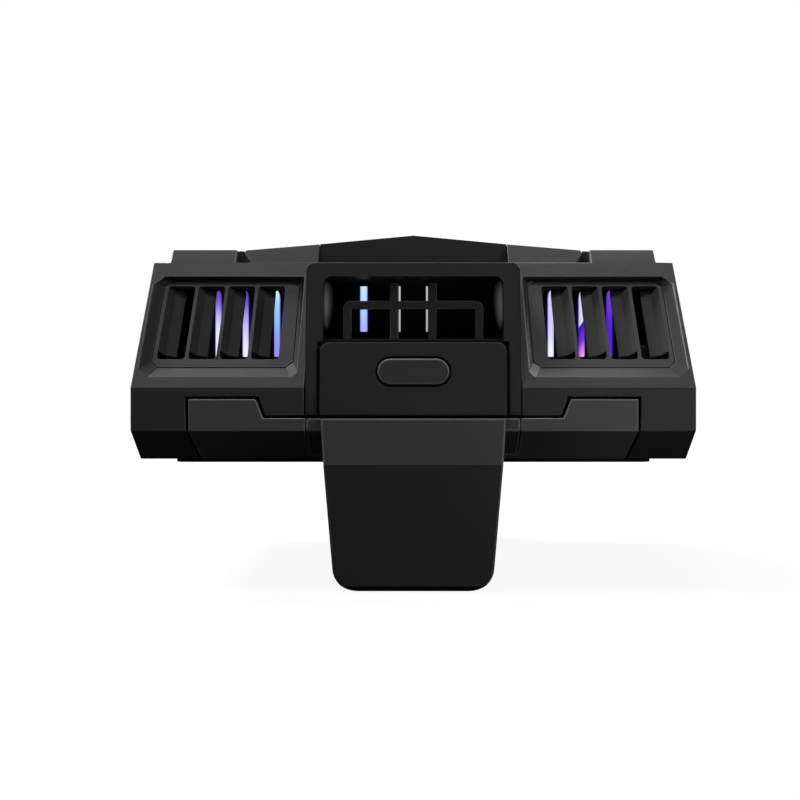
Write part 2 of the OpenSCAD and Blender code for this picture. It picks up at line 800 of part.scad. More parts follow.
rail_h = 0.6;
arch_in_r = 0.2;
grille_drop = 1;
grille_t = 1;
module grille() translate([0, front + bezel_seat + fit + grille_t / 2, 0]) along_y(grille_t) {
    arch_z = window_z + arch_rise;
    translate([0, sill_z - rail_h / 2]) square([2 * bezel_in - 4 * fit, rail_h], center = true);
    for (x = [-upright_x, upright_x]) translate([x - window_bar / 2, sill_z - rail_h])
        square([window_bar, window_h - grille_drop + rail_h]);
    intersection() {
        difference() {
            round_rect_at(arch_half, arch_z, window_bar);
            round_rect_at(arch_half - window_bar, arch_z - window_bar, arch_in_r);
        }
        translate([-arch_half, sill_z - rail_h]) square([2 * arch_half, arch_rise + window_h]);
    }
}

// A round-cornered plate from far below up to a height
module round_rect_at(half, top, r) {
    translate([0, top - half]) round_rect(2 * half, 2 * half, r);
}

module window_grille() color(trim_black) grille();

module rear_window_grille() color(trim_black) mirror([0, 1, 0]) grille();

module button_panel() color(trim_black) on_panel() difference() {
    translate([0, 0, -panel_t]) linear_extrude(panel_t) intersection() {
        round_rect(panel_w, 2 * panel_h, panel_r);
        translate([-panel_w, 0]) square([2 * panel_w, panel_h]);
    }
    translate([0, button_rise, -panel_t - over]) linear_extrude(panel_t + 2 * over)
        stadium(button_l + parting, button_h + parting);
}

module mode_button() color(jaw_grey) on_panel() translate([0, button_rise, 0]) {
    translate([0, 0, -flange_n - flange_t]) linear_extrude(flange_n + flange_t + button_stand)
        stadium(button_l - parting / 2, button_h - parting / 2);
    translate([-flange_w / 2, -flange_h / 2, -flange_n - flange_t]) cube([flange_w, flange_h, flange_t]);
}

module switch_plunger() color(steel) on_panel()
    translate([0, button_rise, -switch_n - switch_t + button_travel + plunger_gap])
        cylinder(h = switch_n + switch_t - button_travel - plunger_gap - flange_n - flange_t, r = plunger_r);

module tact_switch() color(steel) on_panel() difference() {
    translate([-switch_w / 2, button_rise - switch_h / 2, -switch_n - switch_t])
        cube([switch_w, switch_h, switch_t]);
    translate([0, button_rise, -switch_n - switch_t + switch_floor])
        cylinder(h = switch_t + over, r = plunger_r + run);
}

module switch_board() color(board_green) on_panel()
    translate([-switch_board_w / 2, button_rise - switch_h / 2, -switch_n - switch_t - board_t])
        cube([switch_board_w, switch_board_h, board_t]);

// Louvred panel of the right front vent
module louvred_panel() on_slope() {
    difference() {
        union() {
            translate([0, 0, -vent_seat]) linear_extrude(vent_seat - vent_sink) polygon(vent_outline(fit));
            // Above the slots the panel stays thin, so that the light bars show up to their tips
            translate([0, 0, -louvre_n]) linear_extrude(louvre_n - vent_sink - fit) intersection() {
                polygon(vent_outline(vent_ledge + fit));
                translate([0, slot_s1 - body_d]) square([body_w, body_d]);
            }
        }
        for (k = [0 : slots - 1]) translate([
            slot_first + k * slot_pitch + slot_w / 2, (slot_s0 + slot_s1) / 2, -louvre_n - over
        ]) linear_extrude(louvre_n + 2 * over) round_rect(slot_w, slot_s1 - slot_s0, slot_r);
    }
    // Each louvre bends from the rib at the outer side of its slot
    top_n = -vent_sink - fit / 2;
    bend_n = top_n - louvre_drop;
    end_n = bend_n - louvre_fall;
    for (k = [0 : slots - 1])
        translate([slot_first + k * slot_pitch + slot_w, slot_s1 + rib_w / 2, 0]) rotate([90, 0, 0])
            linear_extrude(slot_s1 - slot_s0 + rib_w / 2 - louvre_gap) polygon([
                [rib_w / 2, top_n], [0, top_n], [-louvre_lip, bend_n], [-louvre_reach, end_n],
                [-louvre_reach, end_n - louvre_t], [-louvre_lip, bend_n - louvre_t], [rib_w / 2, -louvre_n]
            ]);
}

module vent_front_right() color(shell_grey) louvred_panel();

module vent_front_left() color(shell_grey) mirror([1, 0, 0]) louvred_panel();

module vent_rear_right() color(shell_grey) mirror([0, 1, 0]) louvred_panel();

module vent_rear_left() color(shell_grey) mirror([0, 1, 0]) mirror([1, 0, 0]) louvred_panel();

// Light bars behind the three inner slots of the right front vent
light_y = front + light_set;
comb_h = 1.4;
light_d = 0.6;
light_clear = 0.3;
light_top = slope_z(light_y - light_d / 2) - (louvre_n + light_clear) / sin(slope_lean);
light_ends = 0.8;
light_bars = 3;
led_side = 1;
led_h = 0.5;
function light_x(k) = vent_x + slot_in + light_in + k * slot_pitch;
module light_comb() {
    difference() {
        slab(
            light_x(0) - light_ends, light_x(light_bars - 1) + light_ends,
            light_y - light_d / 2, light_y + led_side + 2 * fit, belt_top, belt_top + comb_h
        );
        for (k = [0 : light_bars - 1]) slab(
            light_x(k) - led_side / 2 - fit, light_x(k) + led_side / 2 + fit,
            light_y - fit, light_y + led_side + fit, belt_top - over, belt_top + led_h + fit
        );
    }
    for (k = [0 : light_bars - 1]) slab(
        light_x(k) - light_w / 2, light_x(k) + light_w / 2, light_y - light_d / 2, light_y + light_d / 2,
        belt_top + comb_h - fit, light_top
    );
}

module light_comb_front_right() color(light_violet) light_comb();

module light_comb_front_left() color(light_violet) mirror([1, 0, 0]) light_comb();

module light_comb_rear_right() color(light_violet) mirror([0, 1, 0]) light_comb();

module light_comb_rear_left() color(light_violet) mirror([0, 1, 0]) mirror([1, 0, 0]) light_comb();

module leds() color("white") left_and_right() front_and_rear() for (k = [0 : light_bars - 1]) slab(
    light_x(k) - led_side / 2, light_x(k) + led_side / 2, light_y, light_y + led_side,
    belt_top, belt_top + led_h
);

// Light bars behind the window: a broad one on the left and two fine ones
window_light_set = 9.4;
window_light_y = front + window_light_set;
window_light_gap = 0.6;
window_light_top = bezel_top - bezel_wall - window_light_gap;
window_rail = 0.9;
broad_x = -6.7;
broad_w = 1.3;
fine_x = 1.85;
fine_w = 0.5;
module window_bar_at(x, w) slab(
    x - w / 2, x + w / 2, window_light_y - light_d / 2, window_light_y + light_d / 2,
    belt_top, window_light_top
);
module window_light() color(light_violet) {
    slab(
        broad_x - broad_w, fine_x + broad_w, window_light_y - light_d / 2, window_light_y + window_rail,
        belt_top, belt_top + comb_h
    );
    window_bar_at(broad_x, broad_w);
    for (x = [-fine_x, fine_x]) window_bar_at(x, fine_w);
}

tongue_w = 12;
tongue_y = -front - bezel_seat - 2 * fit;
module main_board() color(board_green) difference() {
    union() {
        slab(fit - cavity_x, cavity_x - fit, fit - cavity_y, cavity_y - fit, board_z, belt_top);
        slab(-tongue_w / 2, tongue_w / 2, cavity_y - over, tongue_y, board_z, belt_top);
    }
    slab(-board_in_x, board_in_x, -board_in_y, board_in_y, board_z - over, belt_top + over);
    at_housing_screws() cylinder(h = 2 * belt_top, r = screw_r + fit);
}

usb_wall = 0.3;
usb_tongue_w = 6.7;
usb_tongue_t = 0.7;
usb_in = 0.8;
module usb_socket() color(steel) translate([0, -front - fit, belt_top + usb_h / 2]) rotate([90, 0, 0]) {
    difference() {
        linear_extrude(usb_l) stadium(usb_w, usb_h);
        translate([0, 0, usb_wall - usb_l]) linear_extrude(2 * (usb_l - usb_wall))
            stadium(usb_w - 2 * usb_wall, usb_h - 2 * usb_wall);
    }
    translate([-usb_tongue_w / 2, -usb_tongue_t / 2, usb_in])
        cube([usb_tongue_w, usb_tongue_t, usb_l - usb_in - fit]);
}

module fan_frame() color(trim_black) {
    difference() {
        translate([0, 0, fan_z]) linear_extrude(fan_h) round_rect(fan_side, fan_side, fan_corner);
        translate([0, 0, fan_z - over]) cylinder(h = fan_h + 2 * over, r = duct_r);
        at_fan_screws() translate([0, 0, fan_z - over])
            cylinder(h = fan_h + 2 * over, r = fan_screw_r + press);
    }
    for (a = [45 : 90 : 315]) rotate([0, 0, a])
        slab(
            hub_r - spider_w / 2, duct_r + duct_wall / 2, -spider_w / 2, spider_w / 2, fan_z, fan_z + spider_t
        );
    difference() {
        union() {
            translate([0, 0, fan_z]) cylinder(h = spider_t, r = hub_r);
            translate([0, 0, fan_z]) cylinder(h = tube_top - fan_z, r = sleeve_r + tube_t);
        }
        translate([0, 0, fan_z + sleeve_floor]) cylinder(h = fan_h, r = sleeve_r + press);
    }
}

module fan_bearing() color([0.72, 0.58, 0.35]) translate([0, 0, fan_z + sleeve_floor])
    ring(shaft_r + run, sleeve_r, tube_h - sleeve_floor);

module fan_stator() color([0.62, 0.36, 0.2]) translate([0, 0, fan_z + spider_t]) difference() {
    union() {
        cylinder(h = stator_h, r = sleeve_r + tube_t + shoe_t);
        for (k = [0 : 3]) rotate([0, 0, 90 * k]) {
            slab(
                0, stator_r - shoe_t / 2, -tooth_w / 2, tooth_w / 2, winding_gap, stator_h - winding_gap
            );
            intersection() {
                ring(stator_r - shoe_t, stator_r, stator_h);
                slab(0, stator_r, -shoe_w / 2, shoe_w / 2, 0, stator_h);
            }
        }
    }
    translate([0, 0, -over]) cylinder(h = stator_h + 2 * over, r = sleeve_r + tube_t + press);
}

// Section of a blade, cambered round the hub: u runs from the lower to the upper edge
blade_gap = 0.4;
blade_root = 0.6;
collar_t = 1.2;
blade_h = rotor_z1 - rotor_z0 - 2 * blade_gap;
blade_camber = 1;
blade_steps = 8;
function blade_point(u, side) = [
    blade_chord * (u - 0.5) + side * blade_t / 2 * sin(180 * (0.1 + 0.8 * u)),
    rotor_z0 + blade_gap + blade_h * u + blade_camber * sin(180 * u) * (u - 1)
];
blade_section = concat(
    [for (k = [0 : blade_steps]) blade_point(k / blade_steps, -1)],
    [for (k = [blade_steps : -1 : 0]) blade_point(k / blade_steps, 1)]
);
module fan_rotor() color(trim_black) difference() {
    union() {
        difference() {
            translate([0, 0, rotor_z0]) cylinder(h = rotor_z1 - rotor_z0, r = hub_r);
            translate([0, 0, rotor_z0 - over])
                cylinder(h = rotor_z1 - rotor_z0 - cup_t + over, r = hub_r - cup_t);
        }
        translate([0, 0, tube_top + rotor_gap])
            cylinder(h = rotor_z1 - tube_top - rotor_gap, r = shaft_r + collar_t);
        intersection() {
            for (k = [0 : blades - 1]) rotate([0, 0, k * 360 / blades]) translate([hub_r - blade_root, 0, 0])
                rotate([90, 0, 90]) linear_extrude(tip_r) polygon(blade_section);
            translate([0, 0, fan_z]) cylinder(h = fan_h, r = tip_r);
        }
    }
    translate([0, 0, fan_z]) cylinder(h = rotor_z1 - blade_gap - fan_z, r = shaft_r + press);
}

module rotor_magnet() color([0.25, 0.25, 0.27]) translate([0, 0, rotor_z0 + magnet_lift])
    ring(hub_r - cup_t - magnet_t, hub_r - cup_t - press, stator_h);

module fan_shaft() color(steel)
    translate([0, 0, fan_z + sleeve_floor + shaft_end])
        cylinder(h = rotor_z1 - shaft_top - fan_z - sleeve_floor - shaft_end, r = shaft_r);

module heat_sink() color(metal) {
    slab(-sink_w / 2, sink_w / 2, -sink_d / 2, sink_d / 2, tec_top, tec_top + sink_base);
    for (k = [0 : fins - 1]) {
        x = (k / (fins - 1) - 0.5) * (sink_w - fin_t);
        slab(x - fin_t / 2, x + fin_t / 2, -sink_d / 2, sink_d / 2, tec_top + sink_base - fit, sink_top);
    }
}

tec_plate = 0.8;
tec_edge = 1;
module peltier_module() color("white") {
    for (z = [cold_top, tec_top - tec_plate]) slab(
        -tec_side / 2, tec_side / 2, -tec_side / 2, tec_side / 2, z, z + tec_plate
    );
    slab(
        tec_edge - tec_side / 2, tec_side / 2 - tec_edge, tec_edge - tec_side / 2, tec_side / 2 - tec_edge,
        cold_top + tec_plate - fit, tec_top - tec_plate + fit
    );
}

module insulation_gasket() color([0.2, 0.2, 0.21]) difference() {
    slab(-cold_w / 2, cold_w / 2, -cold_d / 2, cold_d / 2, cold_top, tec_top);
    slab(
        -tec_side / 2 - fit, tec_side / 2 + fit, -tec_side / 2 - fit, tec_side / 2 + fit,
        cold_top - over, tec_top + over
    );
}

module cold_plate() color(metal) slab(-cold_w / 2, cold_w / 2, -cold_d / 2, cold_d / 2, pad_t, cold_top);

module contact_pad() color(rubber_black) difference() {
    linear_extrude(pad_t) round_rect(pad_w, pad_d, pad_r);
    at_housing_screws() translate([0, 0, -over])
        cylinder(h = pad_t + 2 * over, r = head_r + screw_clear);
}

// Outline of the arm in X and Z, with round lower corners
function arm_side(z) = tip_w / 2 + (arm_w - tip_w) / 2 * (z + arm_drop) / (jaw_top + arm_drop);
arm_steps = 8;
arm_corner = [for (k = [0 : arm_steps]) let (a = 90 * k / arm_steps) [
    arm_side(-arm_drop) - arm_r + arm_r * sin(a), -arm_drop + arm_r - arm_r * cos(a)
]];
arm_outline = concat(
    arm_corner, [[arm_w / 2, jaw_top], [-arm_w / 2, jaw_top]],
    [for (k = [arm_steps : -1 : 0]) [-arm_corner[k][0], arm_corner[k][1]]]
);

// Section of the arm in depth and height: knee at the contact face, lip at the tip
tip_round = 0.8;
lip_round = 0.6;
lip_h = 1.6;
lip_foot = 2.8;
arm_profile = [
    [front - arm_stand, jaw_top], [front - knee_stand, 0], [front + tip_set, tip_round - arm_drop],
    [front + tip_set + tip_round, -arm_drop], [front + arm_t + lip - lip_round, -arm_drop],
    [front + arm_t + lip, lip_round - arm_drop], [front + arm_t + lip, lip_h - arm_drop],
    [front + arm_t, lip_foot - arm_drop], [front + arm_t, jaw_top]
];

module arm_solid() difference() {
    union() {
        intersection() {
            along_y(4 * body_d) polygon(arm_outline);
            along_x(body_w) polygon(arm_profile);
        }
        along_x(block_w) polygon([
            [front, chamfer_top], [front, jaw_top], [front + arm_t, jaw_top],
            [front + arm_t, chamfer_top - arm_t * chamfer_h / chamfer_d]
        ]);
    }
    at_block_screws() translate([0, 0, front + arm_t - screw_bite])
        cylinder(h = screw_bite + over, r = screw_r + press);
}

module clamp_arm() color(jaw_grey) arm_solid();

module rear_hook() color(jaw_grey) mirror([0, 1, 0]) arm_solid();

// Ribbed rubber on the inner face of an arm
grip_w = 17;
grip_low = 3.4;
grip_high = 1;
grip_r = 1.5;
grip_ribs = 5;
grip_groove = 0.8;
grip_rise = grip_low - arm_drop;
grip_top = -grip_high;
module grip() difference() {
    translate([0, front + arm_t + grip_t / 2, (grip_rise + grip_top) / 2]) along_y(grip_t)
        round_rect(grip_w, grip_top - grip_rise, grip_r);
    for (k = [1 : grip_ribs]) {
        z = grip_rise + (grip_top - grip_rise) * k / (grip_ribs + 1);
        slab(
            -grip_w, grip_w, front + arm_t + grip_t / 2, front + arm_t + grip_t + over,
            z - grip_groove / 2, z + grip_groove / 2
        );
    }
}

module front_grip_pad() color(rubber_black) grip();

module rear_grip_pad() color(rubber_black) mirror([0, 1, 0]) grip();

module jaw_bar() color(jaw_grey) difference() {
    intersection() {
        along_y(4 * body_d) polygon(jaw_outline(0));
        along_x(body_w) polygon(jaw_profile);
    }
    slab(-block_w / 2 - fit, block_w / 2 + fit, front - over, front + arm_t, pad_t - over, jaw_top + over);
    left_and_right() translate([rod_x, front + jaw_d - rod_grip, rod_z]) rotate([-90, 0, 0])
        cylinder(h = rod_grip + over, r = rod_r + press);
    at_block_screws() {
        translate([0, 0, front]) cylinder(h = jaw_d + over, r = screw_r + press);
        translate([0, 0, front + jaw_d - head_h]) cylinder(h = head_h + over, r = head_r + fit);
    }
}

module guide_rods() color(steel) left_and_right() translate([rod_x, front + jaw_d - rod_grip, rod_z])
    rotate([-90, 0, 0]) cylinder(h = rod_end - front - jaw_d + rod_grip, r = rod_r);

module rod_clips() color(steel) left_and_right() translate([rod_x, clip_y, rod_z]) rotate([-90, 0, 0])
    ring(rod_r + press, clip_r, clip_t);

module guide_bushes() color([0.8, 0.65, 0.35]) left_and_right() translate([rod_x, pocket_back, rod_z])
    rotate([-90, 0, 0]) ring(rod_r + run, rod_r + run + bush_t, bush_l);

// Coil of a spring along Y, swept as one tube
coil_rings = 10;
coil_sides = 6;
module coil() {
    rings = spring_turns * coil_rings;
    pts = [for (i = [0 : rings])
        let (a = 360 * i / coil_rings, y = wire_d / 2 + (spring_l - wire_d) * i / rings)
        for (j = [0 : coil_sides - 1]) let (b = 360 * j / coil_sides, r = coil_r + wire_d / 2 * cos(b))
            [r * cos(a), y + wire_d / 2 * sin(b), r * sin(a)]];
    sides = [for (i = [0 : rings - 1], j = [0 : coil_sides - 1]) let (
        p = i * coil_sides + j, q = i * coil_sides + (j + 1) % coil_sides
    ) each [[p, q, q + coil_sides], [p, q + coil_sides, p + coil_sides]]];
    first = [for (j = [1 : coil_sides - 2]) [0, j + 1, j]];
    end = rings * coil_sides;
    last = [for (j = [1 : coil_sides - 2]) [end, end + j, end + j + 1]];
    polyhedron(pts, concat(first, sides, last));
}

module spring_right() color(steel) translate([rod_x, spring_y0 + fit, rod_z]) coil();

module spring_left() color(steel) translate([-rod_x, spring_y0 + fit, rod_z]) coil();

module screw(r, head, length) {
    cylinder(h = head_h, r = head);
    translate([0, 0, head_h - fit]) cylinder(h = length, r = r);
}

module housing_screws() color(steel) at_housing_screws() translate([0, 0, pad_t])
    screw(screw_r, head_r, belt_top + boss_h - screw_bite - pad_t - head_h);

module fan_screws() color(steel) at_fan_screws() translate([0, 0, slope_top]) mirror([0, 0, 1])
    screw(fan_screw_r, fan_head_r, fan_h / 2 + top_plate_t - head_h);

module arm_screws() color(steel) at_block_screws() translate([0, 0, front + jaw_d]) mirror([0, 0, 1])
    screw(screw_r, head_r, jaw_d - arm_t - head_h + screw_bite - tip_left);

module hook_screws() color(steel) at_block_screws() translate([0, 0, cavity_y - head_h])
    screw(screw_r, head_r, -front - arm_t - cavity_y + screw_bite - tip_left);

lower_housing();
upper_housing();
top_cover();
ridge_strip();
intake_grille();
front_bezel();
window_grille();
button_panel();
rear_bezel();
rear_window_grille();
vent_front_left();
vent_front_right();
vent_rear_left();
vent_rear_right();
light_comb_front_left();
light_comb_front_right();
light_comb_rear_left();
light_comb_rear_right();
window_light();
main_board();
leds();
usb_socket();
switch_board();
tact_switch();
fan_frame();
fan_bearing();
fan_stator();
heat_sink();
peltier_module();
insulation_gasket();
cold_plate();
contact_pad();
rear_hook();
rear_grip_pad();
guide_bushes();
spring_left();
spring_right();
housing_screws();
fan_screws();
hook_screws();
jaw_bar();
clamp_arm();
front_grip_pad();
guide_rods();
rod_clips();
arm_screws();
fan_rotor();
rotor_magnet();
fan_shaft();
mode_button();
switch_plunger();
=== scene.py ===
# %% [markdown]
# # A clip-on phone cooler, dressed from its solids
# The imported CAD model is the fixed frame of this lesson: it says where every piece sits and what moves.
# Here each visible piece gets softened edges, a finish and the small detail that makes it look moulded,
# cast or wound. All sizes are in metres, in the CAD frame: Z = 0 is the face that touches the phone,
# the clamp side is at -Y and X is the width.

# %% Load the frame
import json
import math

import bmesh
import bpy
import numpy as np
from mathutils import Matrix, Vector

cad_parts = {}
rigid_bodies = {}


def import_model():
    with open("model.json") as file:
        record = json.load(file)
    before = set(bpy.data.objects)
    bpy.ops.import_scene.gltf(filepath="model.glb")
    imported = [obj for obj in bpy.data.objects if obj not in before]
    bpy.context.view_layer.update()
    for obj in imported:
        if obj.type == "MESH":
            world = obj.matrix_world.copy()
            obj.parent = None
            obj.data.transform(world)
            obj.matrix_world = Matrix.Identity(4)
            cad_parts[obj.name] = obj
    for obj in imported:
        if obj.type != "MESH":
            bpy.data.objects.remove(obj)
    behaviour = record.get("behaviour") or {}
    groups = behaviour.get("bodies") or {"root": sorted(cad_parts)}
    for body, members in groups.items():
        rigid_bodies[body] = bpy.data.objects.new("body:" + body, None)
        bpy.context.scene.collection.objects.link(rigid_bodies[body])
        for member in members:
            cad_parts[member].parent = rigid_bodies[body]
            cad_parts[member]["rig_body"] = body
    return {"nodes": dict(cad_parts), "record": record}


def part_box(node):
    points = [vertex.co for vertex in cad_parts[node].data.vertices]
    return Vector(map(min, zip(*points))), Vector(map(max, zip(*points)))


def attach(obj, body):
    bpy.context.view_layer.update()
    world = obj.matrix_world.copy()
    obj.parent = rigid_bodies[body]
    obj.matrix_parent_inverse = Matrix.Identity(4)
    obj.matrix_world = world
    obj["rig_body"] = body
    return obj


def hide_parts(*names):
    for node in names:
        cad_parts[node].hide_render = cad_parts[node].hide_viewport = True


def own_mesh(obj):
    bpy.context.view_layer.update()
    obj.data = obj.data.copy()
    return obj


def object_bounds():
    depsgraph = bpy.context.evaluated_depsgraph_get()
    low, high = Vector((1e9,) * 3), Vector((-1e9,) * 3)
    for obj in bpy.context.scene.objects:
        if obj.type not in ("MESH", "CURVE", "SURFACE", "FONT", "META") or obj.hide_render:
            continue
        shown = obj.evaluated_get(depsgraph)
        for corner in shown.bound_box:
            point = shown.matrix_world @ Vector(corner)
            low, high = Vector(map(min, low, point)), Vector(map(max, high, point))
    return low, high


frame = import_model()
CAD_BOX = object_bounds()
NODES = frame["nodes"]
MM = 0.001

# %% [markdown]
# ## Camera
# The photograph looks straight at the clamp side from less than a hand's span away. The object
# stands a little right of and below the picture's middle, which a small lens shift gives without
# turning the camera, so upright edges stay upright.

# %% Place the camera
PICTURE = 800  # pixels on each side of the photograph
CAMERA_PLACE = (0, -176.24 * MM, 6.41 * MM)
camera_data = bpy.data.cameras.new("view")
camera_data.lens = 50
camera_data.sensor_width = 36
camera_data.shift_x = -13.3 / PICTURE
camera_data.shift_y = 14 / PICTURE
camera = bpy.data.objects.new("view", camera_data)
camera.location = CAMERA_PLACE
camera.rotation_euler = (math.pi / 2, 0, 0)
bpy.context.scene.collection.objects.link(camera)
bpy.context.scene.camera = camera
print("camera stands", round(camera.location.length, 3), "m from the origin")

# %% [markdown]
# ## Meshes from arrays
# Every new piece is a surface worked out as whole arrays: a grid of rings, as a profile gives that is
# carried along a path or turned about an axis. Two functions list the faces of such a grid, open or
# closed at its ends, and a third makes it a piece of the model.


# %% Grid helpers
def ring_faces(rows, cols):
    """Quads between neighbours in a grid of rings; the last column joins the first."""
    r, c = np.meshgrid(np.arange(rows - 1), np.arange(cols), indexing="ij")
    right = (c + 1) % cols
    quads = np.stack([r * cols + c, r * cols + right, (r + 1) * cols + right, (r + 1) * cols + c], axis=-1)
    return quads.reshape(-1, 4).tolist()


def closed_faces(rows, cols):
    """The same quads, with the first and the last ring closed by one face each."""
    return ring_faces(rows, cols) + [list(range(cols))[::-1], list(range((rows - 1) * cols, rows * cols))]


def new_piece(name, points, faces, material, body, attributes=None):
    """A smooth mesh object from points and faces that rides on a body, with optional values per point."""
    mesh = bpy.data.meshes.new(name)
    mesh.from_pydata(np.asarray(points, float).tolist(), [], faces)
    mesh.validate()
    mesh.polygons.foreach_set("use_smooth", np.full(len(mesh.polygons), True))
    for label, values in (attributes or {}).items():
        layer = mesh.attributes.new(label, "FLOAT", "POINT")
        layer.data.foreach_set("value", np.asarray(values, np.float32))
    mesh.materials.append(material)
    piece = bpy.data.objects.new(name, mesh)
    bpy.context.scene.collection.objects.link(piece)
    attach(piece, body)
    return piece


# %% [markdown]
# ## Finishes
# The real cooler is one family of dark plastics: a spark-eroded matt shell, satin black trim and a jaw
# that is a shade lighter, with rubber, bare metal and light guides besides. What they share is kept in
# node groups: a moulded grain that varies colour, gloss and height, the lines of drawn metal, and the
# marks of handling. Each material sets its own scale and strength. Rounded edges get a second, glossier
# finish of the same plastic, whose lighter colour is a painted highlight.


# %% Node helpers
def plug(tree, node, inputs):
    """Sets a node's inputs: a socket is linked, anything else becomes the input's value."""
    for key, value in inputs.items():
        if isinstance(value, bpy.types.NodeSocket):
            tree.links.new(value, node.inputs[key])
        else:
            node.inputs[key].default_value = value
    return node


def add(tree, kind, inputs=None, **settings):
    """A new node with its settings and its inputs."""
    node = tree.nodes.new(kind)
    for key, value in settings.items():
        setattr(node, key, value)
    return plug(tree, node, inputs or {})


def new_group(name, inputs, outputs):
    """An empty shader group with float inputs (name and default) and float outputs (name)."""
    group = bpy.data.node_groups.new(name, "ShaderNodeTree")
    for label, default in inputs:
        socket = group.interface.new_socket(label, in_out="INPUT", socket_type="NodeSocketFloat")
        socket.default_value = default
    for label in outputs:
        group.interface.new_socket(label, in_out="OUTPUT", socket_type="NodeSocketFloat")
    return group, group.nodes.new("NodeGroupInput").outputs, group.nodes.new("NodeGroupOutput")


# %% Rules of one node each
def place_on(tree):
    """The place of a point on its piece, in metres."""
    return add(tree, "ShaderNodeTexCoord").outputs["Object"]


def noise(tree, place, scale, detail, **more):
    """Smooth noise about 0.5, with about scale features to a metre and detail finer layers."""
    inputs = {"Vector": place, "Scale": scale, "Detail": detail, **more}
    return add(tree, "ShaderNodeTexNoise", inputs).outputs["Fac"]


def maths(tree, operation, *values, **settings):
    """One operation on values or sockets. MULTIPLY_ADD is the first times the second plus the third."""
    return add(tree, "ShaderNodeMath", dict(enumerate(values)), operation=operation, **settings).outputs[0]


def times(tree, vector, factor):
    """A colour or a place times a factor."""
    return add(tree, "ShaderNodeVectorMath", {0: vector, 1: factor}, operation="MULTIPLY").outputs[0]


def remap(tree, value, low, high, new_low=0.0, new_high=1.0):
    """A value moved from one range to another in proportion, and held at the ends."""
    inputs = {"Value": value, "From Min": low, "From Max": high, "To Min": new_low, "To Max": new_high}
    return add(tree, "ShaderNodeMapRange", inputs).outputs[0]


def raised(tree, height, strength, depth):
    """A normal that follows a height, with bumps of a depth in metres."""
    return add(tree, "ShaderNodeBump",
               {"Height": height, "Strength": strength, "Distance": depth}).outputs[0]


# %% The moulded grain
def make_grain_group():
    """Grain in the surface of a moulded part: fine noise for height, a slow drift for colour and gloss.

    Height is a fine noise plus the distance to the nearest point of a coarser scatter, Drift is a slow
    noise about 1, and Gloss is the slow noise plus a share of the fine one.
    """
    group, given, put = new_group("moulded grain", [("Scale", 4000.0), ("Drift", 0.1)],
                                  ["Height", "Drift", "Gloss"])
    place = place_on(group)
    fine = noise(group, place, given["Scale"], 2.0)
    wide = maths(group, "MULTIPLY", given["Scale"], 0.35)
    coarse = add(group, "ShaderNodeTexVoronoi", {"Vector": place, "Scale": wide}).outputs["Distance"]
    slow = noise(group, place, 90.0, 4.0)
    centred = maths(group, "SUBTRACT", slow, 0.5)
    plug(group, put, {"Height": maths(group, "ADD", fine, coarse),
                      "Drift": maths(group, "MULTIPLY_ADD", centred, given["Drift"], 1.0),
                      "Gloss": maths(group, "MULTIPLY_ADD", fine, 0.3, slow)})
    return group


GRAIN = make_grain_group()
print("group:", GRAIN.name)

# %% [markdown]
# ## Drawn lines and handling marks
# The rods, springs and screws are drawn wire and the heat sink is extruded, so fine lines run along
# them, and their plating is cloudy. Plastic that is gripped gets smoother in patches. A picture of
# scratches could give both, but noise that is stretched or multiplied needs no picture and has no seam.


# %% Drawn lines and handling marks
def make_drawn_group():
    """Lines left by drawing or extruding metal: noise stretched twenty times along one axis.

    The axis is chosen by three factors on the place, 1 across the lines and 0.05 along them.
    """
    group, given, put = new_group(
        "drawn lines", [("Across X", 1.0), ("Across Y", 1.0), ("Across Z", 1.0), ("Scale", 6000.0)],
        ["Lines", "Stain"])
    place = place_on(group)
    pull = add(group, "ShaderNodeCombineXYZ",
               {0: given["Across X"], 1: given["Across Y"], 2: given["Across Z"]}).outputs[0]
    plug(group, put, {"Lines": noise(group, times(group, place, pull), given["Scale"], 3.0),
                      "Stain": noise(group, place, 260.0, 5.0)})
    return group


def make_handling_group():
    """Handling marks: where two slow noises both run high, the matt surface is a little smoother."""
    group, given, put = new_group("handling", [("Reach", 0.5)], ["Smudge"])
    place = place_on(group)
    wide = noise(group, place, 55.0, 2.0)
    streak = noise(group, place, 420.0, 4.0, Distortion=1.5)
    both = maths(group, "MULTIPLY", wide, streak)
    plug(group, put, {"Smudge": remap(group, both, 0.22, 0.42, 0.0, given["Reach"])})
    return group


DRAWN = make_drawn_group()
HANDLING = make_handling_group()
print("groups:", DRAWN.name, "and", HANDLING.name)

# %% [markdown]
# ## Plastics and rubber
# Shell, trim, jaw and button are mouldings from the same kind of tool, so one function makes all their
# finishes, and those of rubber, foam, ferrite and alumina besides, with other colours, scales and depths
# of grain. Their shine is low, because a spark-eroded mould leaves no polish, and higher on the rounded
# edges, whose lighter colour there is a painted highlight.


# %% Plastics and rubber
def blank(name):
    """A new node material, its tree and its shader."""
    material = bpy.data.materials.new(name)
    material.use_nodes = True
    return material, material.node_tree, material.node_tree.nodes["Principled BSDF"]


def moulded(name, colour, rough, scale=5200, bump=0.4, drift=0.14, specular=0.12, smudge=0.4):
    """A moulded finish: colour times drift, gloss and height from the grain, smoother where handled."""
    material, tree, shader = blank(name)
    grain = add(tree, "ShaderNodeGroup", {"Scale": scale, "Drift": drift}, node_tree=GRAIN).outputs
    marks = add(tree, "ShaderNodeGroup", {"Reach": smudge}, node_tree=HANDLING).outputs
    gloss = remap(tree, grain["Gloss"], 0.3, 1.0, rough - 0.06, rough + 0.06)
    plug(tree, shader, {"Base Color": times(tree, colour, grain["Drift"]),
                        "Roughness": maths(tree, "MULTIPLY_ADD", marks["Smudge"], -0.15, gloss),
                        "Normal": raised(tree, grain["Height"], bump, 0.02 * MM),
                        "Specular IOR Level": specular})
    return material


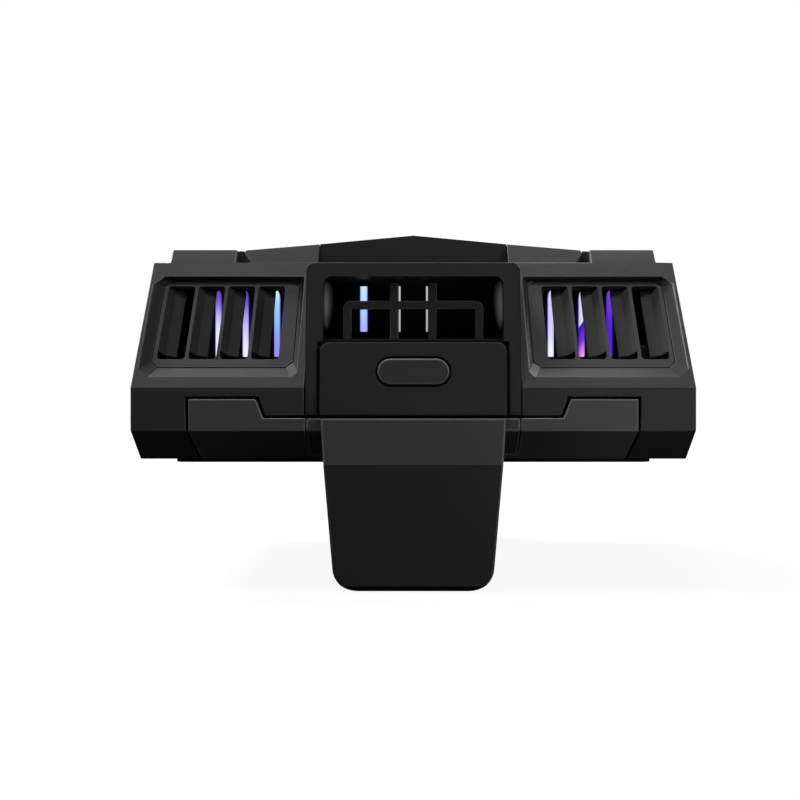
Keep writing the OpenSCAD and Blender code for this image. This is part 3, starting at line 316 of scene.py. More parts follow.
SHELL = moulded("matt shell", (0.062, 0.062, 0.064), 0.62)
# The belt, arm, button and vent tones are lighter or darker copies of their plastic, partly painted light
# and shade.
BELT = moulded("belt plastic", (0.078, 0.078, 0.08), 0.6)
# The edge finishes are lighter, glossier copies of their plastic; the lighter colour is a painted
# highlight.
SHELL_HIGHLIGHT = moulded("matt shell edge highlight", (0.1, 0.1, 0.102), 0.38, bump=0.1, specular=0.4)
TRIM = moulded("satin trim", (0.058, 0.058, 0.06), 0.52, 6500, 0.3)
TRIM_HIGHLIGHT = moulded("satin trim edge highlight", (0.12, 0.12, 0.123), 0.34, 6500, 0.08, specular=0.4)
JAW = moulded("jaw plastic", (0.153, 0.153, 0.156), 0.52, 6500, 0.3)
ARM = moulded("arm plastic", (0.112, 0.112, 0.115), 0.55, 6000, 0.35)
BUTTON = moulded("button cap", (0.089, 0.089, 0.091), 0.5, 6500, 0.3)
JAW_HIGHLIGHT = moulded("jaw plastic edge highlight", (0.26, 0.26, 0.264), 0.34, 6500, 0.08, specular=0.4)
VENT = moulded("vent plastic", (0.074, 0.074, 0.076), 0.62)
# A darker copy of the vent plastic: painted shade on the louvres' side faces and the trays' outer walls.
SLOT_SHADE = moulded("vane plastic with painted shade", (0.04, 0.04, 0.0412), 0.66)
# The darkest plastic: for the fan and the guides' stems deep inside it is partly their own black and partly
# painted shade; on the bezel inside the window, on its edges and on the grille's foot rail it is painted
# shade.
INNER_AND_SHADE = moulded("inner plastic and painted shade", (0.018, 0.018, 0.019), 0.6, 5200, 0.3, smudge=0.1)
RUBBER = moulded("silicone rubber", (0.016, 0.016, 0.0165), 0.75, 3500, 0.6)
FERRITE = moulded("ferrite", (0.06, 0.06, 0.065), 0.55, 3500, 0.5)
CERAMIC = moulded("alumina", (0.72, 0.72, 0.69), 0.5, 3000, 0.3)
FOAM = moulded("closed-cell foam", (0.04, 0.04, 0.042), 0.85, 1500, 0.9)
LED = moulded("led case", (0.75, 0.72, 0.6), 0.4, 3000, 0.2, specular=0.4)
GUIDE = moulded("light guide", (0.05, 0.05, 0.06), 0.3, 3000, 0.1, specular=0.4)
print("plastics from", SHELL.name, "to", GUIDE.name)

# %% [markdown]
# ## Metal and circuit board
# Bare metal is seen in the socket, on the screws underneath and on the rods when the jaw is out. The
# board lies in the dark behind the light bars. Its tracks are the places far from the points of a
# scatter, raised a little under the green mask, which is enough for what glimpses of it show.


# %% Metal and circuit board
def drawn(name, colour, rough, along, scale=6000, bump=0.25, stain=0.25):
    """Drawn metal: fine lines along an axis in height and gloss, and a cloudy stain in the colour."""
    material, tree, shader = blank(name)
    stretch = {"Across " + along: 0.05, "Scale": scale}
    lines = add(tree, "ShaderNodeGroup", stretch, node_tree=DRAWN).outputs
    fade = remap(tree, lines["Stain"], 0.3, 0.7, 1.0 - stain, 1.0)
    plug(tree, shader, {"Base Color": times(tree, colour, fade),
                        "Roughness": remap(tree, lines["Lines"], 0.3, 0.7, rough - 0.08, rough + 0.1),
                        "Normal": raised(tree, lines["Lines"], bump, 0.01 * MM), "Metallic": 1.0})
    return material


def circuit_board():
    """Green mask over copper tracks, which lie far from a scatter's points, counted along the axes."""
    material, tree, shader = blank("solder mask")
    cells = add(tree, "ShaderNodeTexVoronoi", {"Vector": place_on(tree), "Scale": 900.0},
                distance="MANHATTAN", feature="F1")
    track = remap(tree, cells.outputs["Distance"], 0.42, 0.5)
    tone = add(tree, "ShaderNodeMix",
               {0: track, 6: (0.008, 0.04, 0.022, 1.0), 7: (0.02, 0.085, 0.045, 1.0)}, data_type="RGBA")
    plug(tree, shader, {"Base Color": tone.outputs[2], "Roughness": 0.35,
                        "Normal": raised(tree, track, 0.4, 0.03 * MM)})
    return material


STEEL = drawn("plated steel", (0.55, 0.56, 0.58), 0.3, "Y")
ALUMINIUM = drawn("extruded aluminium", (0.6, 0.61, 0.62), 0.38, "Y", 4000)
BRASS = drawn("sintered brass", (0.55, 0.4, 0.18), 0.42, "Y", 9000, 0.4)
COPPER = drawn("enamelled copper", (0.42, 0.17, 0.07), 0.32, "X", 9000, 0.5)
GOLD = drawn("gold plating", (0.75, 0.55, 0.22), 0.28, "Y", 9000, 0.15)
BOARD = circuit_board()
print("metals:", STEEL.name, ALUMINIUM.name, BRASS.name, COPPER.name, GOLD.name)

# %% [markdown]
# ## A finish for every solid
# The record gives each node a material slot, and each slot has its finish. A few pieces differ from the
# others of their slot, because the photograph shows them darker or lighter or because they lie inside.
# Their tones are partly painted light and shade: the lower half, the vents, the arm and the button take
# colours set to how bright they show, and the fan the darkest plastic, partly painted shade.
# All solids get their finish here, also those that a new piece stands in for later.

# %% Finishes on the solids
FINISH = {
    "shell": SHELL, "trim": TRIM, "jaw": JAW, "rubber": RUBBER, "board": BOARD, "steel": STEEL,
    "aluminium": ALUMINIUM, "brass": BRASS, "copper": COPPER, "magnet": FERRITE, "ceramic": CERAMIC,
    "foam": FOAM, "led": LED, "light": GUIDE,
}
# These lighter edge finishes are a painted highlight on the rounded edges of shell, trim and jaw.
EDGE_HIGHLIGHTS = {"shell": SHELL_HIGHLIGHT, "trim": TRIM_HIGHLIGHT, "jaw": JAW_HIGHLIGHT}
SLOT_OF = {row["node"]: row["material_slot"] for row in frame["record"]["subparts"]}
FINISH_OF = {name: FINISH[slot] for name, slot in SLOT_OF.items()}
# Lighter and darker copies of the slot plastics: their tones are partly painted light and shade.
FINISH_OF |= {"fan_frame": INNER_AND_SHADE, "fan_rotor": INNER_AND_SHADE, "lower_housing": BELT, "clamp_arm": ARM,
              "mode_button": BUTTON}
VENTS = [f"vent_{end}_{side}" for end in ("front", "rear") for side in ("left", "right")]
FINISH_OF |= {name: VENT for name in VENTS}
for name, piece in NODES.items():
    piece.data.materials.clear()
    piece.data.materials.append(FINISH_OF[name])
print("slots with a finish:", len(FINISH))

# %% [markdown]
# ## Softened edges
# A solid from CAD has edges of no width, which never catch light. A moulded edge has a radius of a
# tenth of a millimetre or so, and the thin bright lines along the real cooler's edges come from there.
# So each visible shell is a copy of its solid: its loose triangles are merged, flat triangles are
# dissolved into whole faces, and a Bevel modifier rounds every edge that turns by more than the limit.
# Painting the edges in the finish alone would be quicker, but then nothing would round the outline. Most
# rounded edges still take a lighter finish as a painted highlight, and the bezel's a dark one as painted
# shade. Faces that lie inside a window or a slot, and the trays' outer walls, take a darker finish as
# painted shade, and most keep sharp edges.


# %% Softened copies of the solids
HALVES = ("lower_housing", "upper_housing")
SEAM_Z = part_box("lower_housing")[1][2]
BODY_SLOT, EDGE_SLOT, INNER_SLOT = 0, 1, 2  # order of a copy's three finishes
SAME_PLACE, SAME_PLANE = 0.0005 * MM, math.radians(0.5)


def softened(node, width, crease=30, limit=28, whole_faces=True, inner=None, shade_finish=INNER_AND_SHADE,
             edge_finish=None, round_inner=False, flat_over=math.inf):
    """A copy of a CAD node whose outward edges are rounded to a width in millimetres.

    An edge is rounded if its faces turn outward by more than the limit, the faces all round its ends
    are closed and it isn't on the seam of the housing halves, which meet edge to edge. Other edges
    that turn by more than the crease angle stay sharp in the shading. Faces that a given rule calls inner
    have a darker finish of their own, a painted shade, and their edges are rounded only if that is asked
    for. The rounded edges take the edge finish, by default their slot's lighter copy, a painted highlight.
    Faces of more square millimetres than flat_over are shaded flat, so that a fold between them shows.
    """
    work = bmesh.new()
    work.from_mesh(NODES[node].data)
    bmesh.ops.remove_doubles(work, verts=work.verts, dist=SAME_PLACE)
    if whole_faces:
        bmesh.ops.dissolve_limit(work, angle_limit=SAME_PLANE, verts=work.verts, edges=work.edges)
    weight = work.edges.layers.float.new("bevel_weight_edge")
    broken = {v for e in work.edges if len(e.link_faces) != 2 for v in e.verts}
    work.normal_update()
    for face in work.faces:
        is_inner = inner and inner(face.normal, face.calc_center_median() / MM)
        face.material_index = INNER_SLOT if is_inner else BODY_SLOT
    for edge in work.edges:
        closed = len(edge.link_faces) == 2 and not broken.intersection(edge.verts)
        seam = node in HALVES and all(abs(v.co.z - SEAM_Z) < 1e-6 for v in edge.verts)
        turn = math.degrees(edge.calc_face_angle(0)) if len(edge.link_faces) == 2 else 180
        hidden = not round_inner and any(f.material_index == INNER_SLOT for f in edge.link_faces)
        edge[weight] = float(closed and not seam and not hidden and edge.is_convex and turn > limit)
        edge.smooth = edge[weight] > 0 or turn < crease
    mesh = bpy.data.meshes.new(node + "_soft")
    work.to_mesh(mesh)
    work.free()
    mesh.materials.append(FINISH_OF[node])
    # By default the rounded edges take their slot's lighter edge finish, a painted highlight.
    mesh.materials.append(edge_finish or EDGE_HIGHLIGHTS.get(SLOT_OF[node], FINISH_OF[node]))
    mesh.materials.append(shade_finish)
    area = np.empty(len(mesh.polygons), np.float32)
    mesh.polygons.foreach_get("area", area)
    mesh.polygons.foreach_set("use_smooth", area < flat_over * MM ** 2)
    piece = bpy.data.objects.new(node + "_soft", mesh)
    bpy.context.scene.collection.objects.link(piece)
    bevel = piece.modifiers.new("edge", "BEVEL")
    bevel.width = width * MM
    bevel.segments = 2
    bevel.limit_method = "WEIGHT"
    bevel.use_clamp_overlap = False
    bevel.material = EDGE_SLOT
    flat = piece.modifiers.new("flat", "WEIGHTED_NORMAL")
    flat.weight = 100
    flat.keep_sharp = True
    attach(piece, NODES[node]["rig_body"])
    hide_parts(node)
    return piece


# %% [markdown]
# ### Which faces and edges
# Rules on a face's normal and middle tell the walls of the window, the slots and the trays from the outer
# skin, and the faces they pick take a darker finish, a painted shade. Marking faces by hand would look the
# same, but a rule still holds if the solids are changed.
# The widths follow the photograph: the arm's edges are the softest and the black ridge's the sharpest.

# %% Inner faces and the pieces to soften
PANEL_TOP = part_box("button_panel")[1][2] / MM
WINDOW_HALF, WINDOW_HEAD = 11.7, 24.3  # millimetres, just past the window's edges
TRAY_OUT = 28  # millimetres from the middle, beyond which lie the trays' outer walls


def in_the_window(normal, middle):
    """True for the bezel's faces inside the window and its ledge behind the panel: painted shade."""
    inside = abs(middle[0]) < WINDOW_HALF and PANEL_TOP - 1.2 < middle[2] < WINDOW_HEAD
    return inside and (normal[1] > -0.9 or normal[1] < -0.999)


def on_a_vane(normal, middle):
    """True for the faces of a louvre that look sideways into a slot; they get painted shade."""
    return abs(normal[0]) > 0.12


def in_a_tray(normal, middle):
    """True for the outer side walls of the vents' trays, which face the middle; they get painted shade."""
    return abs(middle[0]) > TRAY_OUT and normal[0] * middle[0] < 0 and abs(normal[0]) > 0.25


def at_the_foot(normal, middle):
    """True for the grille's lowest rail, which lies behind the panel's edge; it gets painted shade."""
    return middle[2] < PANEL_TOP + 0.8


FLAT_SIDED = {"lower_housing": 0.16, "top_cover": 0.07, "ridge_strip": 0.03, "jaw_bar": 0.16}
ROUND_CORNERED = {
    "rear_bezel": 0.12, "rear_window_grille": 0.08, "mode_button": 0.2, "contact_pad": 0.12,
    "usb_socket": 0.06, "front_grip_pad": 0.14, "rear_grip_pad": 0.14,
}
SOFT = {node: softened(node, width, crease=6) for node, width in FLAT_SIDED.items()}
SOFT |= {node: softened(node, width) for node, width in ROUND_CORNERED.items()}
SOFT |= {node: softened(node, 0.25, flat_over=50) for node in ("clamp_arm", "rear_hook")}
# The louvres' side faces and the trays' outer walls take the darker slot finish, a painted shade.
SOFT |= {node: softened(node, 0.06, crease=10, inner=on_a_vane, shade_finish=SLOT_SHADE) for node in VENTS}
SOFT["upper_housing"] = softened("upper_housing", 0.12, crease=6, inner=in_a_tray, shade_finish=SLOT_SHADE,
                                 round_inner=True)
SOFT["intake_grille"] = softened("intake_grille", 0.1, crease=6, whole_faces=False)
# The bezel's faces inside the window and its rounded edges take the darkest plastic, a painted shade.
SOFT["front_bezel"] = softened("front_bezel", 0.14, inner=in_the_window, edge_finish=INNER_AND_SHADE)
SOFT["button_panel"] = softened("button_panel", 0.18, edge_finish=TRIM)
# The grille's foot rail takes the darkest plastic, a painted shade.
SOFT["window_grille"] = softened("window_grille", 0.08, inner=at_the_foot)
print("softened pieces:", len(SOFT))

# %% [markdown]
# ## Light guides
# Behind the inner three slots of each vent stands a comb of clear bars, lit from a diode under each
# one. A bar glows along its whole length in a colour that drifts from end to end, and its skin is dimmer
# than its core. Each bar is a rounded section carried upward, closing to a dome at the tip. The places of
# the bars are read from the solids. Two values go with every point: how far along the bar it is and how
# far across. The finishes turn the first into a colour and the second into the dimmer skin.


# %% Places and shape of the bars
def node_points(node):
    """The points of a CAD node, once each."""
    flat = np.empty(3 * len(NODES[node].data.vertices), np.float32)
    NODES[node].data.vertices.foreach_get("co", flat)
    return np.unique(np.round(flat.reshape(-1, 3), 7), axis=0)


def bar_places(node):
    """Left and right side, near and far side, foot and tip of every bar that reaches a node's top."""
    points = node_points(node)
    top = points[:, 2].max()
    tips = points[points[:, 2] > top - 1e-6]
    sides = np.unique(np.round(tips[:, 0], 6)).reshape(-1, 2)
    foot = points[points[:, 2] < top - 1e-6, 2].max()
    return sides, tips[:, 1].min(), tips[:, 1].max(), foot, top


def rounded_bar(x0, x1, y0, y1, z0, z1, tip=1.4, foot=0.5, power=3.0, rows=48, cols=28):
    """A bar with a rounded section: a superellipse in X and Y that closes to a dome at both ends.

    Tip and foot give the height of the domes in widths of the bar. Two values go with every point: how
    far along the bar it is, from 0 to 1, and how far across, from -1 to 1.
    """
    turn = np.linspace(0, 2 * math.pi, cols, endpoint=False)
    across = np.sign(np.cos(turn)) * np.abs(np.cos(turn)) ** (2 / power)
    deep = np.sign(np.sin(turn)) * np.abs(np.sin(turn)) ** (2 / power)
    rise = (1 - np.cos(math.pi * np.linspace(0, 1, rows))) / 2
    wide, tall = x1 - x0, z1 - z0
    upper = np.clip((rise - 1) * tall / (tip * wide) + 1, 0, None)
    lower = np.clip(1 - rise * tall / (foot * wide), 0, None)
    size = np.sqrt(np.clip(1 - np.maximum(upper, lower) ** 2, 0.003, 1))
    x = (x0 + x1) / 2 + wide / 2 * np.outer(size, across)
    y = (y0 + y1) / 2 + (y1 - y0) / 2 * np.outer(size, deep)
    z = np.repeat((z0 + tall * rise)[:, None], cols, axis=1)
    values = {"along": np.repeat(rise, cols), "across": np.tile(across, rows)}
    return np.stack([x, y, z], axis=-1).reshape(-1, 3), closed_faces(rows, cols), values


# %% [markdown]
# ### The glow
# A clear bar with a diode under it seems to shine by itself, so its finish gives off light. Clear plastic
# over a small lamp would be truer, but it renders slowly and with grain. The dark behind a bar catches
# stray light, which is a thin piece of its own with a much deeper tone.


# %% The glow
def bar_values(tree):
    """The two values that go with a bar's points: how far along and how far across."""
    return [add(tree, "ShaderNodeAttribute", attribute_name=label).outputs["Fac"]
            for label in ("along", "across")]


def glowing(name, stops, slant=0.0, skin=(0.02, 0.0, 0.12), blend="B_SPLINE"):
    """Light in a bar: a colour ramp along it, shifted by a slant across it, and a deep-toned skin."""
    material, tree, shader = blank(name)
    along, across = bar_values(tree)
    ramp = add(tree, "ShaderNodeValToRGB", {"Fac": maths(tree, "MULTIPLY_ADD", across, slant, along)})
    ramp.color_ramp.interpolation = blend
    for index, (place, colour) in enumerate(stops):
        stop = ramp.color_ramp.elements[index] if index < 2 else ramp.color_ramp.elements.new(place)
        stop.position, stop.color = place, (*colour, 1.0)
    rim = maths(tree, "POWER", maths(tree, "ABSOLUTE", across), 5.0)
    cloudy = remap(tree, noise(tree, place_on(tree), 500.0, 2.0), 0.0, 1.0, 0.94, 1.06)
    lit = times(tree, ramp.outputs["Color"], cloudy)
    mix = add(tree, "ShaderNodeMix", {0: rim, 6: lit, 7: (*skin, 1.0)}, data_type="RGBA")
    plug(tree, shader, {"Emission Color": mix.outputs[2], "Emission Strength": 1.0, "Roughness": cloudy,
                        "Base Color": (0.02, 0.02, 0.03, 1.0)})
    return material


def halo(name, colour):
    """Stray light in the dark behind a bar: a deep tone that falls off to both sides and to the ends."""
    material, tree, shader = blank(name)
    along, across = bar_values(tree)
    inside = maths(tree, "SUBTRACT", 1.0, maths(tree, "ABSOLUTE", across), use_clamp=True)
    arch = maths(tree, "SINE", maths(tree, "MULTIPLY", along, math.pi))
    share = maths(tree, "MULTIPLY", maths(tree, "POWER", inside, 1.6), arch, use_clamp=True)
    plug(tree, shader, {"Emission Color": times(tree, colour, share), "Emission Strength": 1.0,
                        "Base Color": (0.005, 0.005, 0.008, 1.0), "Specular IOR Level": 0.0})
    return material


HALO = halo("stray light", (0.014, 0.007, 0.13))
print("stray light:", HALO.name)

# %% [markdown]
# ### Colours and places of the bars
# On the left the innermost bar is blue, and the other two turn from white to violet. On the right they
# are pale, then pink to pale across a slant, then violet. Colours used more than once are named, and each
# bar is a list of stops: its foot, its tip and what lies between. A dark stem carries the lit part.

# %% The combs
VIOLET, LAVENDER, WHITE = (0.15, 0.07, 0.64), (0.44, 0.38, 1.0), (0.9, 0.92, 0.98)
PERIWINKLE, SKY, ICE = (0.3, 0.3, 0.9), (0.3, 0.56, 1.0), (0.78, 0.94, 1.0)
DEEP, PURPLE, PINK = (0.035, 0.01, 0.52), (0.16, 0.03, 0.72), (0.66, 0.2, 0.86)
PALE = (0.72, 0.68, 1.0)
GLOW = {
    "left": [
        glowing("ice to periwinkle", [(0.0, PERIWINKLE), (1.0, ICE), (0.3, PERIWINKLE), (0.55, SKY),
                                      (0.8, SKY)]),
        glowing("pale to violet", [(0.0, WHITE), (1.0, VIOLET), (0.35, PALE), (0.6, LAVENDER),
                                   (0.8, VIOLET)]),
        glowing("white to violet", [(0.0, WHITE), (1.0, VIOLET), (0.4, WHITE), (0.65, LAVENDER),
                                    (0.85, VIOLET)]),
    ],
    "right": [
        glowing("white to lavender", [(0.0, WHITE), (1.0, PALE), (0.15, WHITE), (0.35, PALE),
                                      (0.6, (0.62, 0.58, 1.0))]),
        glowing("pink to pale", [(0.0, (0.8, 0.42, 0.9)), (1.0, (0.78, 0.76, 0.97)), (0.1, PINK),
                                 (0.28, PURPLE), (0.5, DEEP), (0.54, PALE)], slant=-0.07, blend="EASE"),
        glowing("violet to purple", [(0.0, PURPLE), (1.0, VIOLET), (0.35, DEEP), (0.7, PURPLE)]),
    ],
}
GLOW_FOOT, GLOW_TIP = 14.2 * MM, 23.65 * MM
# The clear bars stand a little off their sockets, in millimetres.
LEAN = {"left": (0.0, -0.3, 0.0), "right": (0.18, 0.4, 0.18)}
STRAY = 0.6 * MM  # how far stray light reaches past a bar on each side
COMBS = {}
for end in ("front", "rear"):
    for side in ("left", "right"):
        node = f"light_comb_{end}_{side}"
        sides, y0, y1, foot, _ = bar_places(node)
        sides = sides[np.argsort(np.abs(sides.mean(axis=1)))]
        behind = y1 if end == "front" else y0 - 0.3 * MM
        for k, (x0, x1) in enumerate(sides + np.array(LEAN[side])[:, None] * MM):
            points, faces, values = rounded_bar(x0, x1, y0, y1, GLOW_FOOT, GLOW_TIP)
            bar = new_piece(f"{node}_bar_{k}", points, faces, GLOW[side][k], "housing", values)
            points, faces, values = rounded_bar(
                x0 - STRAY, x1 + STRAY, behind + 0.1 * MM, behind + 0.2 * MM,
                GLOW_FOOT - 0.4 * MM, GLOW_TIP + 0.2 * MM)
            stray = new_piece(f"{node}_stray_{k}", points, faces, HALO, "housing", values)
            points, faces, _ = rounded_bar(x0, x1, y0, y1, foot - 0.3 * MM, GLOW_FOOT + 0.3 * MM, 0.2, 0.2)
            stem = new_piece(f"{node}_stem_{k}", points, faces, INNER_AND_SHADE, "housing")
            for piece in (bar, stray, stem):
                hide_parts(node)
            COMBS[node, k] = bar
print("light bars:", len(COMBS))

# %% [markdown]
# ## Bars behind the window
# A broad blue bar and fine white ones stand behind the window's grille. They are cut nearly square, so the
# same rule gets a high power and almost no dome.

# %% Bars behind the window
WINDOW_FOOT, WINDOW_TIP, STEM_TIP = 17.55 * MM, 23.7 * MM, 17.6 * MM
STRAY_FOOT, STRAY_TIP, STRAY_SIDE = 17.2 * MM, 23.9 * MM, 0.35 * MM
BROAD_TRIM, FINE_TRIM = 0.16 * MM, 0.12 * MM  # what the lit core is narrower on each side
broad = glowing("window blue", [(0.0, (0.44, 0.4, 0.92)), (1.0, (0.64, 0.84, 1.0)),
                                (0.25, (0.4, 0.56, 0.98)), (0.7, (0.5, 0.74, 1.0))], skin=(0.1, 0.16, 0.5))
fine = glowing("window white", [(0.0, (0.42, 0.42, 0.5)), (1.0, (0.55, 0.58, 0.62))],
               skin=(0.2, 0.2, 0.22))
sides, y0, y1, foot, _ = bar_places("window_light")
for k, (x0, x1) in enumerate(sides):
    thin = BROAD_TRIM if k == 0 else FINE_TRIM
    points, faces, values = rounded_bar(x0 + thin, x1 - thin, y0, y1, WINDOW_FOOT, WINDOW_TIP,
                                        0.05, 0.05, 16.0)
    bar = new_piece(f"window_bar_{k}", points, faces, broad if k == 0 else fine, "housing",
                    values)
    points, faces, _ = rounded_bar(x0, x1, y0, y1, foot - 0.3 * MM, STEM_TIP, 0.2, 0.2)
    stem = new_piece(f"window_stem_{k}", points, faces, INNER_AND_SHADE, "housing")
    for piece in (bar, stem):
        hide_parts("window_light")
low, high = sides[0][0] - STRAY_SIDE, sides[0][1] + STRAY_SIDE
points, faces, values = rounded_bar(low, high, y1 + 0.1 * MM, y1 + 0.2 * MM, STRAY_FOOT, STRAY_TIP)
stray = new_piece("window_stray", points, faces, HALO, "housing", values)
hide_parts("window_light")
print("window bars:", len(sides))

# %% [markdown]
# ## Cheeks of the window
# Just inside the window, a rounded rib stands on each side wall of the column and catches some of the
# diodes' light. It is one more rounded bar, wide at its head and drawn in towards its foot. A lamp there
# would light the grille too, so the light is part of the rib's finish.

# %% Cheeks
CHEEK_LIGHT = halo("cheek light", (0.075, 0.075, 0.079))
INNER_WALL, CHEEK_IN = 12.38 * MM, 10.35 * MM
CHEEK_NEAR, CHEEK_FAR, CHEEK_FOOT, CHEEK_HEAD = -31.2 * MM, -30.4 * MM, 17.4 * MM, 23.9 * MM
for side, sign in (("left", -1), ("right", 1)):
    x0, x1 = sorted((sign * INNER_WALL, sign * CHEEK_IN))
    points, faces, values = rounded_bar(x0, x1, CHEEK_NEAR, CHEEK_FAR, CHEEK_FOOT, CHEEK_HEAD, 0.6, 2.2)
    new_piece("window_cheek_" + side, points, faces, CHEEK_LIGHT, "housing", values)
print("cheeks reach in to", CHEEK_IN / MM, "mm")

# %% [markdown]
# ## Rails under the bars
# Each comb is one moulding, so its bars rise from a rail that sits over the diodes. A Bevel modifier on a
# box would do, but a box with rounded edges can also be written as one grid, and the socket's contacts use
# the same function later.


# %% Rails
def rounded_block(lo, hi, radius, steps=4):
    """A box with all its edges rounded: a ball's grid of directions pushed out to the box's corners."""
    cols = 4 * (steps + 1)
    turn = np.concatenate([np.linspace(q, q + 1, steps + 1) for q in range(4)]) * math.pi / 2
    rise = np.concatenate([np.linspace(-1, 0, steps + 1), np.linspace(0, 1, steps + 1)]) * math.pi / 2
    quarter = np.repeat(np.arange(4), steps + 1)
    half = (np.asarray(hi) - np.asarray(lo)) / 2 - radius
    mid = (np.asarray(hi) + np.asarray(lo)) / 2
    corner_x = np.where((quarter == 0) | (quarter == 3), 1, -1)
    corner_y = np.where(quarter < 2, 1, -1)
    corner_z = np.repeat([-1, 1], steps + 1)
    x = mid[0] + half[0] * corner_x[None] + radius * np.outer(np.cos(rise), np.cos(turn))
    y = mid[1] + half[1] * corner_y[None] + radius * np.outer(np.cos(rise), np.sin(turn))
    z = np.repeat((mid[2] + half[2] * corner_z + radius * np.sin(rise))[:, None], cols, axis=1)
    return np.stack([x, y, z], axis=-1).reshape(-1, 3), closed_faces(2 * (steps + 1), cols)


RAILED = ["window_light"] + sorted({node for node, _ in COMBS})
for node in RAILED:
    low, high = map(np.array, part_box(node))
    high[2] = bar_places(node)[3]
    points, faces = rounded_block(low, high, 0.12 * MM)
    rail = new_piece(node + "_rail", points, faces, GUIDE, "housing")
    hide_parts(node)
print("rails:", len(RAILED))

# %% [markdown]
# ## Return springs
# Two wire springs sit on the guide rods and pull the jaw home. Each is a round wire carried along a
# helix, with its end turns closed up as on a real spring. A Screw modifier winds a wire too, but only
# with an even pitch. When the jaw slides out the real springs shorten between the bush and the clip;
# these stay as they are, on the housing.


# %% Springs
def coil_spring(middle_x, middle_z, y0, y1, radius, wire, turns, steps=36, sides=12):
    """A round wire on a helix along Y: its pitch is small in the first and last turn and even between."""
    t = np.linspace(0, 1, int(turns * steps))
    pitch = np.clip(np.minimum(t, 1 - t) * turns, 0.12, 1.0)
    climb = np.concatenate([[0], np.cumsum((pitch[1:] + pitch[:-1]) / 2)])
    y = y0 + wire + (y1 - y0 - 2 * wire) * climb / climb[-1]
    angle = 2 * math.pi * turns * t
    around = np.linspace(0, 2 * math.pi, sides, endpoint=False)
    reach = radius + wire * np.cos(around)[None]
    x = middle_x + reach * np.cos(angle)[:, None]
    z = middle_z + reach * np.sin(angle)[:, None]
    y = y[:, None] - wire * np.sin(around)[None]
    return np.stack([x, y, z], axis=-1).reshape(-1, 3), closed_faces(len(t), sides)


WIRE, TURNS = 0.3 * MM, 12
for side in ("left", "right"):
    low, high = map(np.array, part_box("spring_" + side))
    middle = (low + high) / 2
    points, faces = coil_spring(middle[0], middle[2], low[1], high[1], (high[0] - low[0]) / 2 - WIRE,
                                WIRE, TURNS)
    spring = new_piece("spring_wire_" + side, points, faces, STEEL, "housing")
    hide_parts("spring_" + side)
    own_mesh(spring)
print("springs of", round((high[1] - low[1]) / MM, 1), "mm")

# %% [markdown]
# ## Fan wheel
# The wheel is one moulding: a cup over the motor with a rounded crown, and nine blades that lean and
# thin out towards the tip. The cup is a profile turned about the axis. A blade is a thin cambered
# section carried outward from the cup while it turns flatter, the way a fan blade keeps its angle to
# the faster air at the tip.


# %% Fan wheel
def turned(profile, cols=96):
    """A closed profile of radius and height turned about Z."""
    turn = np.linspace(0, 2 * math.pi, cols, endpoint=False)
    r, z = np.asarray(profile, float).T
    points = np.stack([np.outer(r, np.cos(turn)), np.outer(r, np.sin(turn)),
                       np.repeat(z[:, None], cols, 1)], -1)
    return points.reshape(-1, 3), ring_faces(len(r), cols)


def fan_blade(r0, r1, z0, z1, chord, thick, rows=14, steps=12):
    """One blade: a cambered leaf section that leans from z0 to z1 over its chord, flatter at the tip.

    Along the chord the height climbs evenly and is hollowed by a sine. The thickness is a sine as well,
    less towards the tip, and the section is swept back by the square of the way out.
    """
    u = np.linspace(0, 1, steps + 1)
    leaf = np.concatenate([u, u[-2:0:-1]])
    face = np.concatenate([np.ones(steps + 1), -np.ones(steps - 1)])
    out = np.linspace(0, 1, rows)
    radius = r0 + (r1 - r0) * out
    lean = 1 - 0.3 * out
    middle = (z0 + z1) / 2
    tangent = chord * (leaf - 0.5)[None] * (1 + 0.25 * out)[:, None]
    height = middle + (z1 - z0) / 2 * (2 * leaf - 1)[None] * lean[:, None] * 0.97
    height = height - 0.9 * MM * np.sin(math.pi * leaf)[None] * (1 - leaf)[None]
    bulge = np.sin(math.pi * (0.06 + 0.88 * leaf))
    body = thick / 2 * bulge[None] * (1.15 - 0.5 * out)[:, None] * face[None]
    swept = tangent + body * 0.7 + (1.6 * MM * out ** 2)[:, None]
    turn = swept / radius[:, None]
    points = np.stack([radius[:, None] * np.cos(turn), radius[:, None] * np.sin(turn),
                       height - body * 0.7], -1)
    return points.reshape(-1, 3), closed_faces(rows, len(leaf))


# %% The wheel's cup and blades
BLADES = 9
low, high = map(np.array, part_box("fan_rotor"))
crown, tip, hub = high[2], high[0] - 0.05 * MM, 9.5 * MM
corner = 1.1 * MM
# The profile runs from the lip up the outside, over the crown with its groove and dimple, and back inside.
bend = np.linspace(0, math.pi / 2, 8)
cup = [(hub - 1.2 * MM, low[2] + 0.02 * MM), (hub - 0.1 * MM, low[2]), (hub, low[2] + 0.1 * MM)]
cup += [(hub - corner + corner * math.cos(b), crown - corner + corner * math.sin(b)) for b in bend]
cup += [(6.2 * MM, crown), (6.0 * MM, crown - 0.15 * MM), (5.6 * MM, crown - 0.15 * MM), (5.4 * MM, crown),
        (2.2 * MM, crown), (2.0 * MM, crown - 0.3 * MM), (0.02 * MM, crown - 0.3 * MM),
        (0.02 * MM, crown - 1.2 * MM), (hub - 1.3 * MM, crown - 1.2 * MM),
        (hub - 1.2 * MM, low[2] + 0.02 * MM)]
points, faces = turned(cup)
wheel = new_piece("fan_cup", points, faces, INNER_AND_SHADE, "fan")
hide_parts("fan_rotor")
leaf_points, leaf_faces = fan_blade(hub - 0.3 * MM, tip, low[2] + 0.4 * MM, crown - 0.5 * MM,
                                    chord=6.2 * MM, thick=0.8 * MM)
blade_points, blade_faces = [], []
